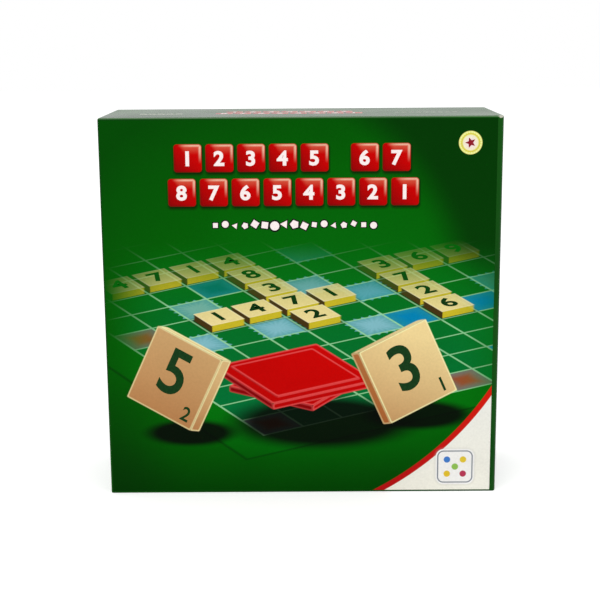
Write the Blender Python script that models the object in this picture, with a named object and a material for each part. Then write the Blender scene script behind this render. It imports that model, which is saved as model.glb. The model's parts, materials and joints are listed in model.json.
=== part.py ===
"""A word board game in its two-part card box, closed and standing on its lower side.

The printed lid faces -Y and lifts off along -Y. The base behind it holds the folded playing
board and, in front of that, a card insert with the letter tiles, the tile racks, the cloth
bag and the rules. +Z is up, and the origin is under the middle of the box.
"""

from math import pi

import bmesh
import bpy
from mathutils import Matrix, Vector

# The closed box, and the gap that is kept between pieces that touch.
BOX_WIDTH = 0.270
BOX_HEIGHT = 0.262
BOX_DEPTH = 0.094
SEAT_GAP = 0.0003

# Lid and base, each one printed sheet that is cut, folded up and glued at its corner flaps.
BOX_SHEET = 0.0015
FOLD_RADIUS = 0.0015
FOLD_SEGMENTS = 3
FLAP_HEIGHT = 0.022
FLAP_SETBACK = 0.004
TELESCOPE_FIT = 0.0005
LID_SETBACK = 0.0015
BASE_SETBACK = 0.0007
CUTTER_OVERRUN = 0.005

# Playing board, four leaves joined by cloth hinges and folded face to face.
LEAF_COUNT = 4
LEAF_THICKNESS = 0.0020
LEAF_CORNER_RADIUS = 0.003
LEAF_CORNER_SEGMENTS = 2
BOARD_SIDE_ROOM = 0.004
BOARD_TOP_ROOM = 0.0047
HINGE_CLOTH = 0.0004
HINGE_END_SETBACK = 0.004

# Card insert: a tray with two long dividers and a grid of cells for the tiles.
INSERT_CARD = 0.0010
LID_ROOM = 0.0085
DIVIDER_FRONT_ROOM = 0.022
TAB_LENGTH = 0.016
TAB_FROM_FLOOR = 0.020
CELL_FRONT_ROOM = 0.027
CELL_CLEARANCE = 0.0004

# Letter tiles, stacked ten deep in the cells.
TILE_SIDE = 0.027
TILE_THICKNESS = 0.0050
TILE_CORNER = 0.0018
TILE_CORNER_SEGMENTS = 2
GROOVE_DEPTH = 0.0006
TILE_COLUMNS = 5
TILE_ROWS = 2
STACK_TOP_ROOM = 0.016

# Tile racks. The profile runs round the rack's end, as shares of its width and its height.
RACK_COUNT = 4
RACK_WIDTH = 0.022
RACK_HEIGHT = 0.018
RACK_END_ROOM = 0.007
RACK_SLACK = 0.0010
RACK_PROFILE_SHARES = (
    (0.00, 0.00),
    (1.00, 0.00),
    (1.00, 0.42),
    (0.88, 0.46),
    (0.80, 0.24),
    (0.34, 0.34),
    (0.16, 1.00),
    (0.00, 1.00),
)

# Cloth bag, folded up, and the folded rules.
BAG_SIDE_ROOM = 0.0030
BAG_TOP_ROOM = 0.0040
BAG_THICKNESS = 0.034
BAG_EDGE_RADIUS = 0.008
BAG_EDGE_SEGMENTS = 3
RULES_PAPER = 0.0004
RULES_SLIT = 0.0004
RULES_SIDE_ROOM = 0.022
RULES_TOP_ROOM = 0.007

# Places that follow from the sizes above, outside in.
LID_DEPTH = BOX_DEPTH - LID_SETBACK
BASE_WIDTH = BOX_WIDTH - 4 * BOX_SHEET - 2 * TELESCOPE_FIT
BASE_HEIGHT = BOX_HEIGHT - 2 * BOX_SHEET - 2 * TELESCOPE_FIT
BASE_DEPTH = BOX_DEPTH - BOX_SHEET - BASE_SETBACK
FRONT_Y = -BOX_DEPTH / 2
BACK_Y = BOX_DEPTH / 2
BOX_MIDDLE_Z = BOX_HEIGHT / 2
BASE_FLOOR_Y = BACK_Y - BOX_SHEET
BASE_INNER_BOTTOM_Z = BOX_MIDDLE_Z - BASE_HEIGHT / 2 + BOX_SHEET
BASE_INNER_HEIGHT = BASE_HEIGHT - 2 * BOX_SHEET

LEAF_WIDTH = BASE_WIDTH - 2 * BOX_SHEET - 2 * BOARD_SIDE_ROOM
LEAF_HEIGHT = BASE_INNER_HEIGHT - BOARD_TOP_ROOM
LEAF_PITCH = LEAF_THICKNESS + SEAT_GAP
BOARD_BACK_Y = BASE_FLOOR_Y - SEAT_GAP
BOARD_BOTTOM_Z = BASE_INNER_BOTTOM_Z + SEAT_GAP
BOARD_FRONT_Y = BOARD_BACK_Y - LEAF_COUNT * LEAF_PITCH + SEAT_GAP

INSERT_BACK_Y = BOARD_FRONT_Y - SEAT_GAP
INSERT_WIDTH = BASE_WIDTH - 4 * BOX_SHEET - 2 * SEAT_GAP
INSERT_HEIGHT = BASE_INNER_HEIGHT - 2 * SEAT_GAP
INSERT_FRONT_Y = FRONT_Y + BOX_SHEET + LID_ROOM
INSERT_DEPTH = INSERT_BACK_Y - INSERT_FRONT_Y
INSERT_BOTTOM_Z = BASE_INNER_BOTTOM_Z + SEAT_GAP
INNER_LEFT_X = -INSERT_WIDTH / 2 + INSERT_CARD
INNER_WIDTH = INSERT_WIDTH - 2 * INSERT_CARD
INNER_RIGHT_X = INNER_LEFT_X + INNER_WIDTH
INNER_BOTTOM_Z = INSERT_BOTTOM_Z + INSERT_CARD
INNER_TOP_Z = INSERT_BOTTOM_Z + INSERT_HEIGHT - INSERT_CARD
INNER_FLOOR_Y = INSERT_BACK_Y - INSERT_CARD
SEAT_Y = INNER_FLOOR_Y - SEAT_GAP
DIVIDER_DEPTH = SEAT_Y - INSERT_FRONT_Y - DIVIDER_FRONT_ROOM
CELL_DIVIDER_DEPTH = SEAT_Y - INSERT_FRONT_Y - CELL_FRONT_ROOM

CELL_SIDE = TILE_SIDE + 2 * CELL_CLEARANCE
CELL_PITCH = CELL_SIDE + INSERT_CARD
TILE_PITCH = TILE_THICKNESS + SEAT_GAP
TILES_IN_STACK = int((INSERT_DEPTH - INSERT_CARD - STACK_TOP_ROOM) / TILE_PITCH)
LOWER_DIVIDER_Z = INNER_BOTTOM_Z + TILE_ROWS * CELL_PITCH - INSERT_CARD + SEAT_GAP
RACKS_BOTTOM_Z = LOWER_DIVIDER_Z + INSERT_CARD + SEAT_GAP
UPPER_DIVIDER_Z = RACKS_BOTTOM_Z + RACK_COUNT * (RACK_WIDTH + SEAT_GAP) + RACK_SLACK
TILE_BLOCK_RIGHT_X = INNER_LEFT_X + TILE_COLUMNS * CELL_PITCH


def make_material(name, colour, roughness, metallic=0.0):
    """Returns a plain Principled material."""
    material = bpy.data.materials.new(name)
    material.use_nodes = True
    shader = material.node_tree.nodes["Principled BSDF"]
    shader.inputs["Base Color"].default_value = (*colour, 1.0)
    shader.inputs["Roughness"].default_value = roughness
    shader.inputs["Metallic"].default_value = metallic
    return material


def make_mesh(bm, name):
    """Turns the bmesh into a mesh with its faces pointing out."""
    bmesh.ops.recalc_face_normals(bm, faces=bm.faces)
    mesh = bpy.data.meshes.new(name)
    bm.to_mesh(mesh)
    bm.free()
    return mesh


def place(name, mesh, colour, roughness, location=(0, 0, 0), parent=None):
    """Adds a piece with a material of its own."""
    piece = bpy.data.objects.new(name, mesh)
    if not mesh.materials:
        mesh.materials.append(make_material(name, colour, roughness))
    piece.location = location
    piece.parent = parent
    bpy.context.scene.collection.objects.link(piece)
    return piece


def add_block(bm, low, high):
    """Adds a box between two corners and returns its vertices."""
    low, high = Vector(low), Vector(high)
    shape = Matrix.Translation((low + high) / 2) @ Matrix.Diagonal((*(high - low), 1))
    return bmesh.ops.create_cube(bm, size=1, matrix=shape)["verts"]


def block_mesh(name, low, high):
    """Returns a plain box."""
    bm = bmesh.new()
    add_block(bm, low, high)
    return make_mesh(bm, name)


def edges_along(bm, axis):
    """Returns the edges that run along one of the axes 0, 1 and 2."""
    found = []
    for edge in bm.edges:
        run = edge.verts[1].co - edge.verts[0].co
        if abs(run[axis]) > 0.99 * run.length:
            found.append(edge)
    return found


def round_edges(bm, edges, radius, segments):
    """Rounds the edges given."""
    bmesh.ops.bevel(
        bm,
        geom=edges,
        offset=radius,
        segments=segments,
        profile=0.5,
        affect="EDGES",
        clamp_overlap=True,
    )


def extruded_mesh(name, outline, direction):
    """Returns the solid that an outline of points sweeps along a direction."""
    bm = bmesh.new()
    face = bm.faces.new([bm.verts.new(point) for point in outline])
    grown = bmesh.ops.extrude_face_region(bm, geom=[face])["geom"]
    moved = [item for item in grown if isinstance(item, bmesh.types.BMVert)]
    bmesh.ops.translate(bm, verts=moved, vec=direction)
    return make_mesh(bm, name)


def cut_away(piece, name, mesh):
    """Cuts a shape out of the piece. The cutter rides with it and isn't a piece itself."""
    cutter = bpy.data.objects.new(name, mesh)
    cutter.parent = piece
    cutter.display_type = "WIRE"
    cutter.hide_render = True
    bpy.context.scene.collection.objects.link(cutter)
    cut = piece.modifiers.new(name, "BOOLEAN")
    cut.operation = "DIFFERENCE"
    cut.solver = "EXACT"
    cut.object = cutter


def folded_tray(name, width, depth, height, colour, parent):
    """Adds a glued card tray. Its panel lies at local y = 0 and its walls run along +Y.

    The upper and lower walls end in flaps, which are glued inside the left and right walls.
    """
    bm = bmesh.new()
    add_block(bm, (-width / 2, 0, -height / 2), (width / 2, depth, height / 2))
    folds = set(edges_along(bm, 1))
    for edge in bm.edges:
        if all(vert.co.y < depth / 2 for vert in edge.verts):
            folds.add(edge)
    round_edges(bm, list(folds), FOLD_RADIUS, FOLD_SEGMENTS)
    tray = place(name, make_mesh(bm, name), colour, 0.35, parent=parent)
    wall_x = width / 2 - BOX_SHEET
    flap_x = wall_x - BOX_SHEET
    wall_z = height / 2 - BOX_SHEET
    flap_z = wall_z - FLAP_HEIGHT
    quarter = ((flap_x, wall_z), (flap_x, flap_z), (wall_x, flap_z))
    outline = []
    for side_x, side_z in ((1, 1), (1, -1), (-1, -1), (-1, 1)):
        corner = quarter if side_x * side_z > 0 else tuple(reversed(quarter))
        outline += [(side_x * x, BOX_SHEET, side_z * z) for x, z in corner]
    reach = depth + CUTTER_OVERRUN
    hollow = extruded_mesh(name + "_hollow", outline, (0, reach - BOX_SHEET, 0))
    cut_away(tray, name + "_hollow", hollow)
    mouth_low = (-wall_x, depth - FLAP_SETBACK, -wall_z)
    mouth = block_mesh(name + "_mouth", mouth_low, (wall_x, reach, wall_z))
    cut_away(tray, name + "_mouth", mouth)
    return tray


def build_box():
    """Adds the lid on the empty that marks its way off, and the base."""
    lid_slide = bpy.data.objects.new("lid_slide", None)
    lid_slide.location = (0, FRONT_Y, BOX_MIDDLE_Z)
    bpy.context.scene.collection.objects.link(lid_slide)
    folded_tray("lid", BOX_WIDTH, LID_DEPTH, BOX_HEIGHT, (0.01, 0.10, 0.02), lid_slide)
    base = folded_tray("base", BASE_WIDTH, BASE_DEPTH, BASE_HEIGHT, (0.01, 0.07, 0.02), None)
    base.location = (0, BACK_Y, BOX_MIDDLE_Z)
    base.rotation_euler = (0, 0, pi)


def build_board():
    """Adds the four leaves and the three cloth hinges that join them, two and two."""
    left_x = -LEAF_WIDTH / 2
    bm = bmesh.new()
    add_block(bm, (left_x, -LEAF_THICKNESS, 0), (left_x + LEAF_WIDTH, 0, LEAF_HEIGHT))
    round_edges(bm, edges_along(bm, 1), LEAF_CORNER_RADIUS, LEAF_CORNER_SEGMENTS)
    leaf = make_mesh(bm, "board_leaf")
    for number in range(LEAF_COUNT):
        back_y = BOARD_BACK_Y - number * LEAF_PITCH
        name = f"board_leaf_{number + 1}"
        place(name, leaf, (0.05, 0.25, 0.08), 0.4, (0, back_y, BOARD_BOTTOM_Z))
    across = LEAF_THICKNESS + LEAF_PITCH
    side_x = left_x - SEAT_GAP
    side_low = (side_x - HINGE_CLOTH, -across, HINGE_END_SETBACK)
    side = block_mesh("side_hinge", side_low, (side_x, 0, LEAF_HEIGHT - HINGE_END_SETBACK))
    top_z = LEAF_HEIGHT + SEAT_GAP
    top_low = (left_x + HINGE_END_SETBACK, -across, top_z)
    top_high = (-left_x - HINGE_END_SETBACK, 0, top_z + HINGE_CLOTH)
    top = block_mesh("top_hinge", top_low, top_high)
    for number, mesh in enumerate((side, top, side)):
        back_y = BOARD_BACK_Y - number * LEAF_PITCH
        name = f"board_hinge_{number + 1}"
        place(name, mesh, (0.02, 0.05, 0.03), 0.7, (0, back_y, BOARD_BOTTOM_Z))


def long_divider_outline(tabs_reach):
    """Returns the outline of a long divider, with a tab at each end, seen from above."""
    half = INNER_WIDTH / 2 - SEAT_GAP
    tab_near = TAB_FROM_FLOOR
    tab_far = TAB_FROM_FLOOR + TAB_LENGTH
    right = [
        (half, 0, 0),
        (half, -tab_near, 0),
        (half + tabs_reach, -tab_near, 0),
        (half + tabs_reach, -tab_far, 0),
        (half, -tab_far, 0),
        (half, -DIVIDER_DEPTH, 0),
    ]
    left = [(-x, y, z) for x, y, z in reversed(right)]
    return right + left


def build_insert():
    """Adds the insert's tray and its long dividers, whose tabs sit in slots in its sides."""
    half = INSERT_WIDTH / 2
    bottom, top = INSERT_BOTTOM_Z, INSERT_BOTTOM_Z + INSERT_HEIGHT
    shell = block_mesh("insert_tray", (-half, INSERT_FRONT_Y, bottom), (half, INSERT_BACK_Y, top))
    tray = place("insert_tray", shell, (0.75, 0.72, 0.66), 0.7)
    hollow = block_mesh(
        "insert_hollow",
        (INNER_LEFT_X, INSERT_FRONT_Y - CUTTER_OVERRUN, INNER_BOTTOM_Z),
        (INNER_RIGHT_X, INNER_FLOOR_Y, INNER_TOP_Z),
    )
    cut_away(tray, "insert_hollow", hollow)
    slots = bmesh.new()
    slot_back_y = SEAT_Y - TAB_FROM_FLOOR + SEAT_GAP
    slot_front_y = SEAT_Y - TAB_FROM_FLOOR - TAB_LENGTH - SEAT_GAP
    for divider_z in (LOWER_DIVIDER_Z, UPPER_DIVIDER_Z):
        low_z, high_z = divider_z - SEAT_GAP, divider_z + INSERT_CARD + SEAT_GAP
        for wall_x in (-half, half - INSERT_CARD):
            low_x, high_x = wall_x - CUTTER_OVERRUN, wall_x + INSERT_CARD + CUTTER_OVERRUN
            add_block(slots, (low_x, slot_front_y, low_z), (high_x, slot_back_y, high_z))
    cut_away(tray, "insert_slots", make_mesh(slots, "insert_slots"))
    outline = long_divider_outline(INSERT_CARD)
    divider = extruded_mesh("insert_divider", outline, (0, 0, INSERT_CARD))
    for name, low_z in (("lower", LOWER_DIVIDER_Z), ("upper", UPPER_DIVIDER_Z)):
        place(f"insert_divider_{name}", divider, (0.78, 0.75, 0.69), 0.7, (0, SEAT_Y, low_z))


def build_cells():
    """Adds the strips that part the tile cells. They cross in slots cut half way through."""
    half_lap = CELL_DIVIDER_DEPTH / 2 + SEAT_GAP / 2
    slot = INSERT_CARD + 2 * SEAT_GAP
    colour = (0.80, 0.77, 0.71)
    lap_z = CELL_SIDE - SEAT_GAP
    upright_top = LOWER_DIVIDER_Z - INNER_BOTTOM_Z - SEAT_GAP
    outline = [
        (0, 0, SEAT_GAP),
        (0, 0, upright_top),
        (0, -CELL_DIVIDER_DEPTH, upright_top),
        (0, -CELL_DIVIDER_DEPTH, lap_z + slot),
        (0, half_lap - CELL_DIVIDER_DEPTH, lap_z + slot),
        (0, half_lap - CELL_DIVIDER_DEPTH, lap_z),
        (0, -CELL_DIVIDER_DEPTH, lap_z),
        (0, -CELL_DIVIDER_DEPTH, SEAT_GAP),
    ]
    upright = extruded_mesh("cell_upright", outline, (INSERT_CARD, 0, 0))
    slots_x = []
    for column in range(TILE_COLUMNS):
        left_x = (column + 1) * CELL_PITCH - INSERT_CARD
        slots_x.append(left_x - SEAT_GAP)
        where = (INNER_LEFT_X + left_x, SEAT_Y, INNER_BOTTOM_Z)
        place(f"cell_upright_{column + 1}", upright, colour, 0.7, where)
    front = -CELL_DIVIDER_DEPTH
    outline = [(SEAT_GAP, front, 0), (SEAT_GAP, 0, 0)]
    for slot_x in slots_x[:-1]:
        outline += [
            (slot_x, 0, 0),
            (slot_x, -half_lap, 0),
            (slot_x + slot, -half_lap, 0),
            (slot_x + slot, 0, 0),
        ]
    outline += [(slots_x[-1], 0, 0), (slots_x[-1], -half_lap, 0)]
    outline += [(slots_x[-1] + slot, -half_lap, 0), (slots_x[-1] + slot, front, 0)]
    shelf = extruded_mesh("cell_shelf", outline, (0, 0, INSERT_CARD))
    where = (INNER_LEFT_X, SEAT_Y, INNER_BOTTOM_Z + CELL_SIDE)
    place("cell_shelf", shelf, colour, 0.7, where)


def tile_stack_mesh(name, count):
    """Returns a stack of tiles as one solid, with a groove where one tile meets the next."""
    bm = bmesh.new()
    middle = TILE_SIDE / 2
    corners = ((-middle, 0), (middle, 0), (middle, TILE_SIDE), (-middle, TILE_SIDE))
    first = face = bm.faces.new([bm.verts.new((x, 0, z)) for x, z in corners])
    narrow = 1 - 2 * GROOVE_DEPTH / TILE_SIDE
    steps = [(TILE_THICKNESS, 1)]
    for _ in range(count - 1):
        steps += [(SEAT_GAP / 2, narrow), (SEAT_GAP / 2, 1 / narrow), (TILE_THICKNESS, 1)]
    centre = Vector((0, 0, middle))
    for rise, grow in steps:
        grown = bmesh.ops.extrude_face_region(bm, geom=[face])["geom"]
        verts = [item for item in grown if isinstance(item, bmesh.types.BMVert)]
        if face is not first:
            bmesh.ops.delete(bm, geom=[face], context="FACES_ONLY")
        face = next(item for item in grown if isinstance(item, bmesh.types.BMFace))
        bmesh.ops.translate(bm, verts=verts, vec=(0, -rise, 0))
        about = Matrix.Translation(-centre)
        bmesh.ops.scale(bm, verts=verts, vec=(grow, 1, grow), space=about)
    return make_mesh(bm, name)


def build_tiles():
    """Adds a stack of tiles in each cell. Its top tile is a piece of its own."""
    stack = tile_stack_mesh("tile_stack", TILES_IN_STACK - 1)
    bm = bmesh.new()
    add_block(bm, (-TILE_SIDE / 2, -TILE_THICKNESS, 0), (TILE_SIDE / 2, 0, TILE_SIDE))
    round_edges(bm, edges_along(bm, 1), TILE_CORNER, TILE_CORNER_SEGMENTS)
    tile = make_mesh(bm, "letter_tile")
    top_y = SEAT_Y - (TILES_IN_STACK - 1) * TILE_PITCH
    colour = (0.80, 0.70, 0.45)
    for number in range(TILE_ROWS * TILE_COLUMNS):
        row, column = divmod(number, TILE_COLUMNS)
        middle_x = INNER_LEFT_X + column * CELL_PITCH + CELL_SIDE / 2
        bottom_z = INNER_BOTTOM_Z + row * CELL_PITCH + SEAT_GAP
        label = f"{number + 1:02d}"
        place(f"tile_stack_{label}", stack, colour, 0.35, (middle_x, SEAT_Y, bottom_z))
        place(f"letter_tile_{label}", tile, colour, 0.35, (middle_x, top_y, bottom_z))


def build_racks():
    """Adds the racks, lying side by side with their feet on the insert's floor."""
    length = INNER_WIDTH - 2 * RACK_END_ROOM
    outline = [
        (-length / 2, -up * RACK_HEIGHT, across * RACK_WIDTH)
        for across, up in RACK_PROFILE_SHARES
    ]
    rack = extruded_mesh("tile_rack", outline, (length, 0, 0))
    for number in range(RACK_COUNT):
        low_z = RACKS_BOTTOM_Z + number * (RACK_WIDTH + SEAT_GAP)
        name = f"tile_rack_{number + 1}"
        place(name, rack, (0.55, 0.02, 0.02), 0.3, (0, SEAT_Y, low_z))


def build_bag_and_rules():
    """Adds the folded bag in its compartment, and the rules in the upper one."""
    bm = bmesh.new()
    low_z = INNER_BOTTOM_Z + SEAT_GAP
    low = (TILE_BLOCK_RIGHT_X + BAG_SIDE_ROOM, SEAT_Y - BAG_THICKNESS, low_z)
    high = (INNER_RIGHT_X - BAG_SIDE_ROOM, SEAT_Y, LOWER_DIVIDER_Z - BAG_TOP_ROOM)
    add_block(bm, low, high)
    round_edges(bm, list(bm.edges), BAG_EDGE_RADIUS, BAG_EDGE_SEGMENTS)
    place("tile_bag", make_mesh(bm, "tile_bag"), (0.03, 0.16, 0.06), 0.9)
    half = INNER_WIDTH / 2 - RULES_SIDE_ROOM
    low_z = UPPER_DIVIDER_Z + INSERT_CARD + SEAT_GAP
    high_z = INNER_TOP_Z - RULES_TOP_ROOM
    slit_y = -RULES_PAPER
    front_y = -2 * RULES_PAPER - RULES_SLIT
    outline = [
        (-half, 0, high_z - low_z),
        (-half, 0, 0),
        (-half, front_y, 0),
        (-half, front_y, high_z - low_z),
        (-half, front_y + RULES_PAPER, high_z - low_z),
        (-half, front_y + RULES_PAPER, RULES_PAPER),
        (-half, slit_y, RULES_PAPER),
        (-half, slit_y, high_z - low_z),
    ]
    rules = extruded_mesh("rules_leaflet", outline, (2 * half, 0, 0))
    place("rules_leaflet", rules, (0.85, 0.85, 0.82), 0.6, (0, SEAT_Y, low_z))


for old in list(bpy.data.objects):
    bpy.data.objects.remove(old)
build_box()
build_board()
build_insert()
build_cells()
build_tiles()
build_racks()
build_bag_and_rules()
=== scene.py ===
"""The looks of a boxed word board game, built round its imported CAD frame.

Finer pieces stand for the lid, the base, the letter tiles, the racks, the bag and the rules.
The board and the card insert keep their CAD meshes and get materials. Lengths are in metres,
apart from places in a print, which are in millimetres from the middle of the panel's lower edge.
A colour of three whole numbers is a display colour, 0 to 255. A colour of four is linear.
"""

import json
import logging
import math
from dataclasses import dataclass, field
from enum import Enum
from typing import Any, Callable, Dict, Iterable, List, Optional, Sequence, Tuple, Union

import bmesh
import bpy
from mathutils import Matrix, Vector, noise

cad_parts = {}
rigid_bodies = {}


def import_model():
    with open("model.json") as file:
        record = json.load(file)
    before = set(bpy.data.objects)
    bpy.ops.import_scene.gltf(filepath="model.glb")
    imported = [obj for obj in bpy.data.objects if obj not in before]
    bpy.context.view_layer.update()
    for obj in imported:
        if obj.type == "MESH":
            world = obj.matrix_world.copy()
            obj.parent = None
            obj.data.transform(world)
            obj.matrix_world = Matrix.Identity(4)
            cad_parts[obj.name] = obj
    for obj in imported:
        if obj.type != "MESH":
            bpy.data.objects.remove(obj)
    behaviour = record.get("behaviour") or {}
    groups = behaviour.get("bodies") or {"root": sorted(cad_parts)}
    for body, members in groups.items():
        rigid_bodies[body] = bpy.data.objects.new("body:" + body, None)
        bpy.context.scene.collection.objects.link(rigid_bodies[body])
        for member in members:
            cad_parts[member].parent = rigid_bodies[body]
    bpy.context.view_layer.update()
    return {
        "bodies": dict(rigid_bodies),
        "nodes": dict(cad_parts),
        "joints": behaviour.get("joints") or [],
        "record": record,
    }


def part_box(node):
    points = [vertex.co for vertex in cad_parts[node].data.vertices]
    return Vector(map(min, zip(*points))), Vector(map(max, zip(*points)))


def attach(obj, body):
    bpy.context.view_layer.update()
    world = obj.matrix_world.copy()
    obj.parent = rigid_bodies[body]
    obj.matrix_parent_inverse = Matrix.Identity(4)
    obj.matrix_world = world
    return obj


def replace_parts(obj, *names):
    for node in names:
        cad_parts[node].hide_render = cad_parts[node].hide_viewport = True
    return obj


Paint = Tuple[int, int, int]
Colour = Tuple[float, float, float, float]
Spot = Tuple[float, float]
Place = Tuple[float, float, float]
Value = Union["Socket", float]
Shape = bmesh.types.BMesh
Material = bpy.types.Material
Thing = bpy.types.Object

LOG = logging.getLogger("word_board_game")
MM = 0.001
CLOSE = 1e-6
PLAIN_PROFILE = 0.5
RIGHT, BACK, UP = Vector((1, 0, 0)), Vector((0, 1, 0)), Vector((0, 0, 1))


class Body(Enum):
    """The bodies of the CAD frame."""

    BASE = "base"
    LID = "lid"


class Slot(Enum):
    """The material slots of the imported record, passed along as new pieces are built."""

    LID = "lid_card"
    BASE = "base_card"
    TILE = "tile_plastic"
    RACK = "rack_plastic"
    BAG = "bag_cloth"
    RULES = "rules_paper"


class Finish(Enum):
    """How strongly a laminated panel mirrors, and how rough it is."""

    FRONT = (0.03, 0.30)
    WALL = (0.055, 0.24)


def ink(red: int, green: int, blue: int) -> Colour:
    """Turns a display colour, 0 to 255, into the opaque linear one that shaders take."""
    shares = (level / 255 for level in (red, green, blue))
    return (*(s / 12.92 if s <= 0.04045 else ((s + 0.055) / 1.055) ** 2.4 for s in shares), 1.0)


class Socket:
    """One output of a shader node. Python's operators on it add Math nodes."""

    def __init__(self, graph: "Graph", output: bpy.types.NodeSocket) -> None:
        """Wraps an output of a node in a graph."""
        self.graph = graph
        self.output = output

    def beside(self, name: Union[str, int]) -> "Socket":
        """Gives another output of the same node."""
        return Socket(self.graph, self.output.node.outputs[name])

    def math(self, operation: str, *others: Value) -> "Socket":
        """Adds a Math node on this value, and on a second and third where it takes them."""
        return self.graph.math(operation, self, *others)

    def __add__(self, other: Value) -> "Socket":
        """Adds."""
        return self.math("ADD", other)

    __radd__ = __add__

    def __sub__(self, other: Value) -> "Socket":
        """Subtracts."""
        return self.math("SUBTRACT", other)

    def __rsub__(self, other: Value) -> "Socket":
        """Subtracts this from a number."""
        return self.graph.math("SUBTRACT", other, self)

    def __mul__(self, other: Value) -> "Socket":
        """Multiplies."""
        return self.math("MULTIPLY", other)

    __rmul__ = __mul__

    def __truediv__(self, other: Value) -> "Socket":
        """Divides."""
        return self.math("DIVIDE", other)

    def __abs__(self) -> "Socket":
        """Takes the size without the sign."""
        return self.math("ABSOLUTE")

    def lowest(self, other: Value) -> "Socket":
        """Takes the lower of two."""
        return self.math("MINIMUM", other)

    def highest(self, other: Value) -> "Socket":
        """Takes the higher of two."""
        return self.math("MAXIMUM", other)

    def below(self, other: Value) -> "Socket":
        """Is 1 where this is below the other."""
        return self.math("LESS_THAN", other)

    def above(self, other: Value) -> "Socket":
        """Is 1 where this is above the other."""
        return self.math("GREATER_THAN", other)

    def off_centre(self) -> "Socket":
        """Gives the distance from the middle of the unit cell that the value is in."""
        return abs(self.math("FRACT") - 0.5)

    def ramp(self, start: float, end: float, smooth: bool = False) -> "Socket":
        """Rises from 0 at start to 1 at end, which may lie below start, eased if smooth."""
        kind = {"interpolation_type": "SMOOTHSTEP" if smooth else "LINEAR"}
        return self.graph.node("ShaderNodeMapRange", kind, {0: self, 1: start, 2: end})


def length(*parts: Socket) -> Socket:
    """Gives the length of a vector with these parts."""
    squares = [part * part for part in parts]
    return sum(squares[1:], squares[0]).math("SQRT")


class Graph:
    """A material, or the world, and the nodes in it."""

    def __init__(self, name: str, world: bool = False) -> None:
        """Makes it with its plain shader.

        Args:
            name: Its name.
            world: Whether it is a world.
        """
        self.owner = (bpy.data.worlds if world else bpy.data.materials).new(name)
        self.owner.use_nodes = True
        self.tree = self.owner.node_tree
        self.shader = self.tree.nodes["Background" if world else "Principled BSDF"]

    def node(
        self,
        kind: str,
        settings: Optional[Dict[str, Any]] = None,
        links: Optional[Dict[Any, Any]] = None,
        output: Any = 0,
    ) -> Socket:
        """Adds a node.

        Args:
            kind: The node's type.
            settings: Its settings, and a ramp's stops as pairs of place and colour.
            links: The values or links of its sockets, by name or number.
            output: The output that is wanted.

        Returns:
            That output.
        """
        made = self.tree.nodes.new(kind)
        for name, value in (settings or {}).items():
            if name == "stops":
                self.set_stops(made.color_ramp.elements, value)
            else:
                setattr(made, name, value)
        for key, value in (links or {}).items():
            self.feed(made.inputs[key], value)
        return Socket(self, made.outputs[output])

    def set_stops(self, elements: Any, stops: Sequence[Tuple[float, Paint]]) -> None:
        """Sets a colour ramp's stops.

        Args:
            elements: The ramp's elements.
            stops: Pairs of place and colour.
        """
        while len(elements) < len(stops):
            elements.new(1.0)
        for element, (place, colour) in zip(elements, stops):
            element.position, element.color = place, ink(*colour)

    def feed(self, socket: bpy.types.NodeSocket, value: Any) -> None:
        """Links an output to a socket, or sets the socket's own value.

        Args:
            socket: The input.
            value: A Socket, or a plain value.
        """
        if isinstance(value, Socket):
            self.tree.links.new(value.output, socket)
        else:
            socket.default_value = value

    def math(self, operation: str, *values: Value) -> Socket:
        """Adds a Math node on one to three values."""
        return self.node("ShaderNodeMath", {"operation": operation}, dict(enumerate(values)))

    def mix(self, share: Value, first: Any, second: Any) -> Socket:
        """Mixes two colours, the second one by its share."""
        pair = (ink(*c) if isinstance(c, tuple) and len(c) == 3 else c for c in (first, second))
        return self.node("ShaderNodeMix", {"data_type": "RGBA"}, dict(zip((0, 6, 7), (share, *pair))), 2)

    def position(self) -> Socket:
        """Gives the place on the piece, in millimetres."""
        links = {0: self.node("ShaderNodeTexCoord", output="Object"), "Scale": 1 / MM}
        return self.node("ShaderNodeVectorMath", {"operation": "SCALE"}, links)

    def parts(self, vector: Socket) -> Tuple[Socket, Socket, Socket]:
        """Splits a vector into x, y and z."""
        x = self.node("ShaderNodeSeparateXYZ", links={0: vector})
        return x, x.beside(1), x.beside(2)

    def noise(self, vector: Socket, scale: float, detail: float = 2.0) -> Socket:
        """Gives smooth noise round 0.5, of so many features per unit and finer layers."""
        links = {"Vector": vector, "Scale": scale, "Detail": detail}
        return self.node("ShaderNodeTexNoise", links=links)

    def streaks(self, vector: Socket, scale: Place, detail: float = 2.0, lean: float = 0.0) -> Socket:
        """Gives noise with its own scale along each axis, leaning round y."""
        links = {"Vector": vector, "Rotation": (0.0, lean, 0.0), "Scale": scale}
        return self.noise(self.node("ShaderNodeMapping", links=links), 1.0, detail)

    def seen(self) -> Socket:
        """Is 1 for the camera's own rays and for those that a mirror or glass sends on."""
        ray = self.node("ShaderNodeLightPath", output="Is Camera Ray")
        return ray.highest(ray.beside("Is Glossy Ray")).highest(ray.beside("Is Transmission Ray"))

    def set_shader(self, **values: Any) -> None:
        """Sets or links the shader's sockets, named with _ for each space."""
        for name, value in values.items():
            self.feed(self.shader.inputs[name.replace("_", " ")], value)

    def dress(
        self,
        colour: Socket,
        rough: Value,
        gloss: float,
        bump: Optional[Tuple[Socket, float, float]] = None,
    ) -> Material:
        """Feeds the shader.

        Args:
            colour: The base colour.
            rough: The roughness.
            gloss: The specular level.
            bump: A height pattern, its strength, and the height in metres that 1 stands for.

        Returns:
            The material.
        """
        self.set_shader(Base_Color=colour, Roughness=rough, Specular_IOR_Level=gloss)
        if bump is not None:
            links = dict(zip(("Height", "Strength", "Distance"), bump))
            self.set_shader(Normal=self.node("ShaderNodeBump", links=links))
        return self.owner


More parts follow.
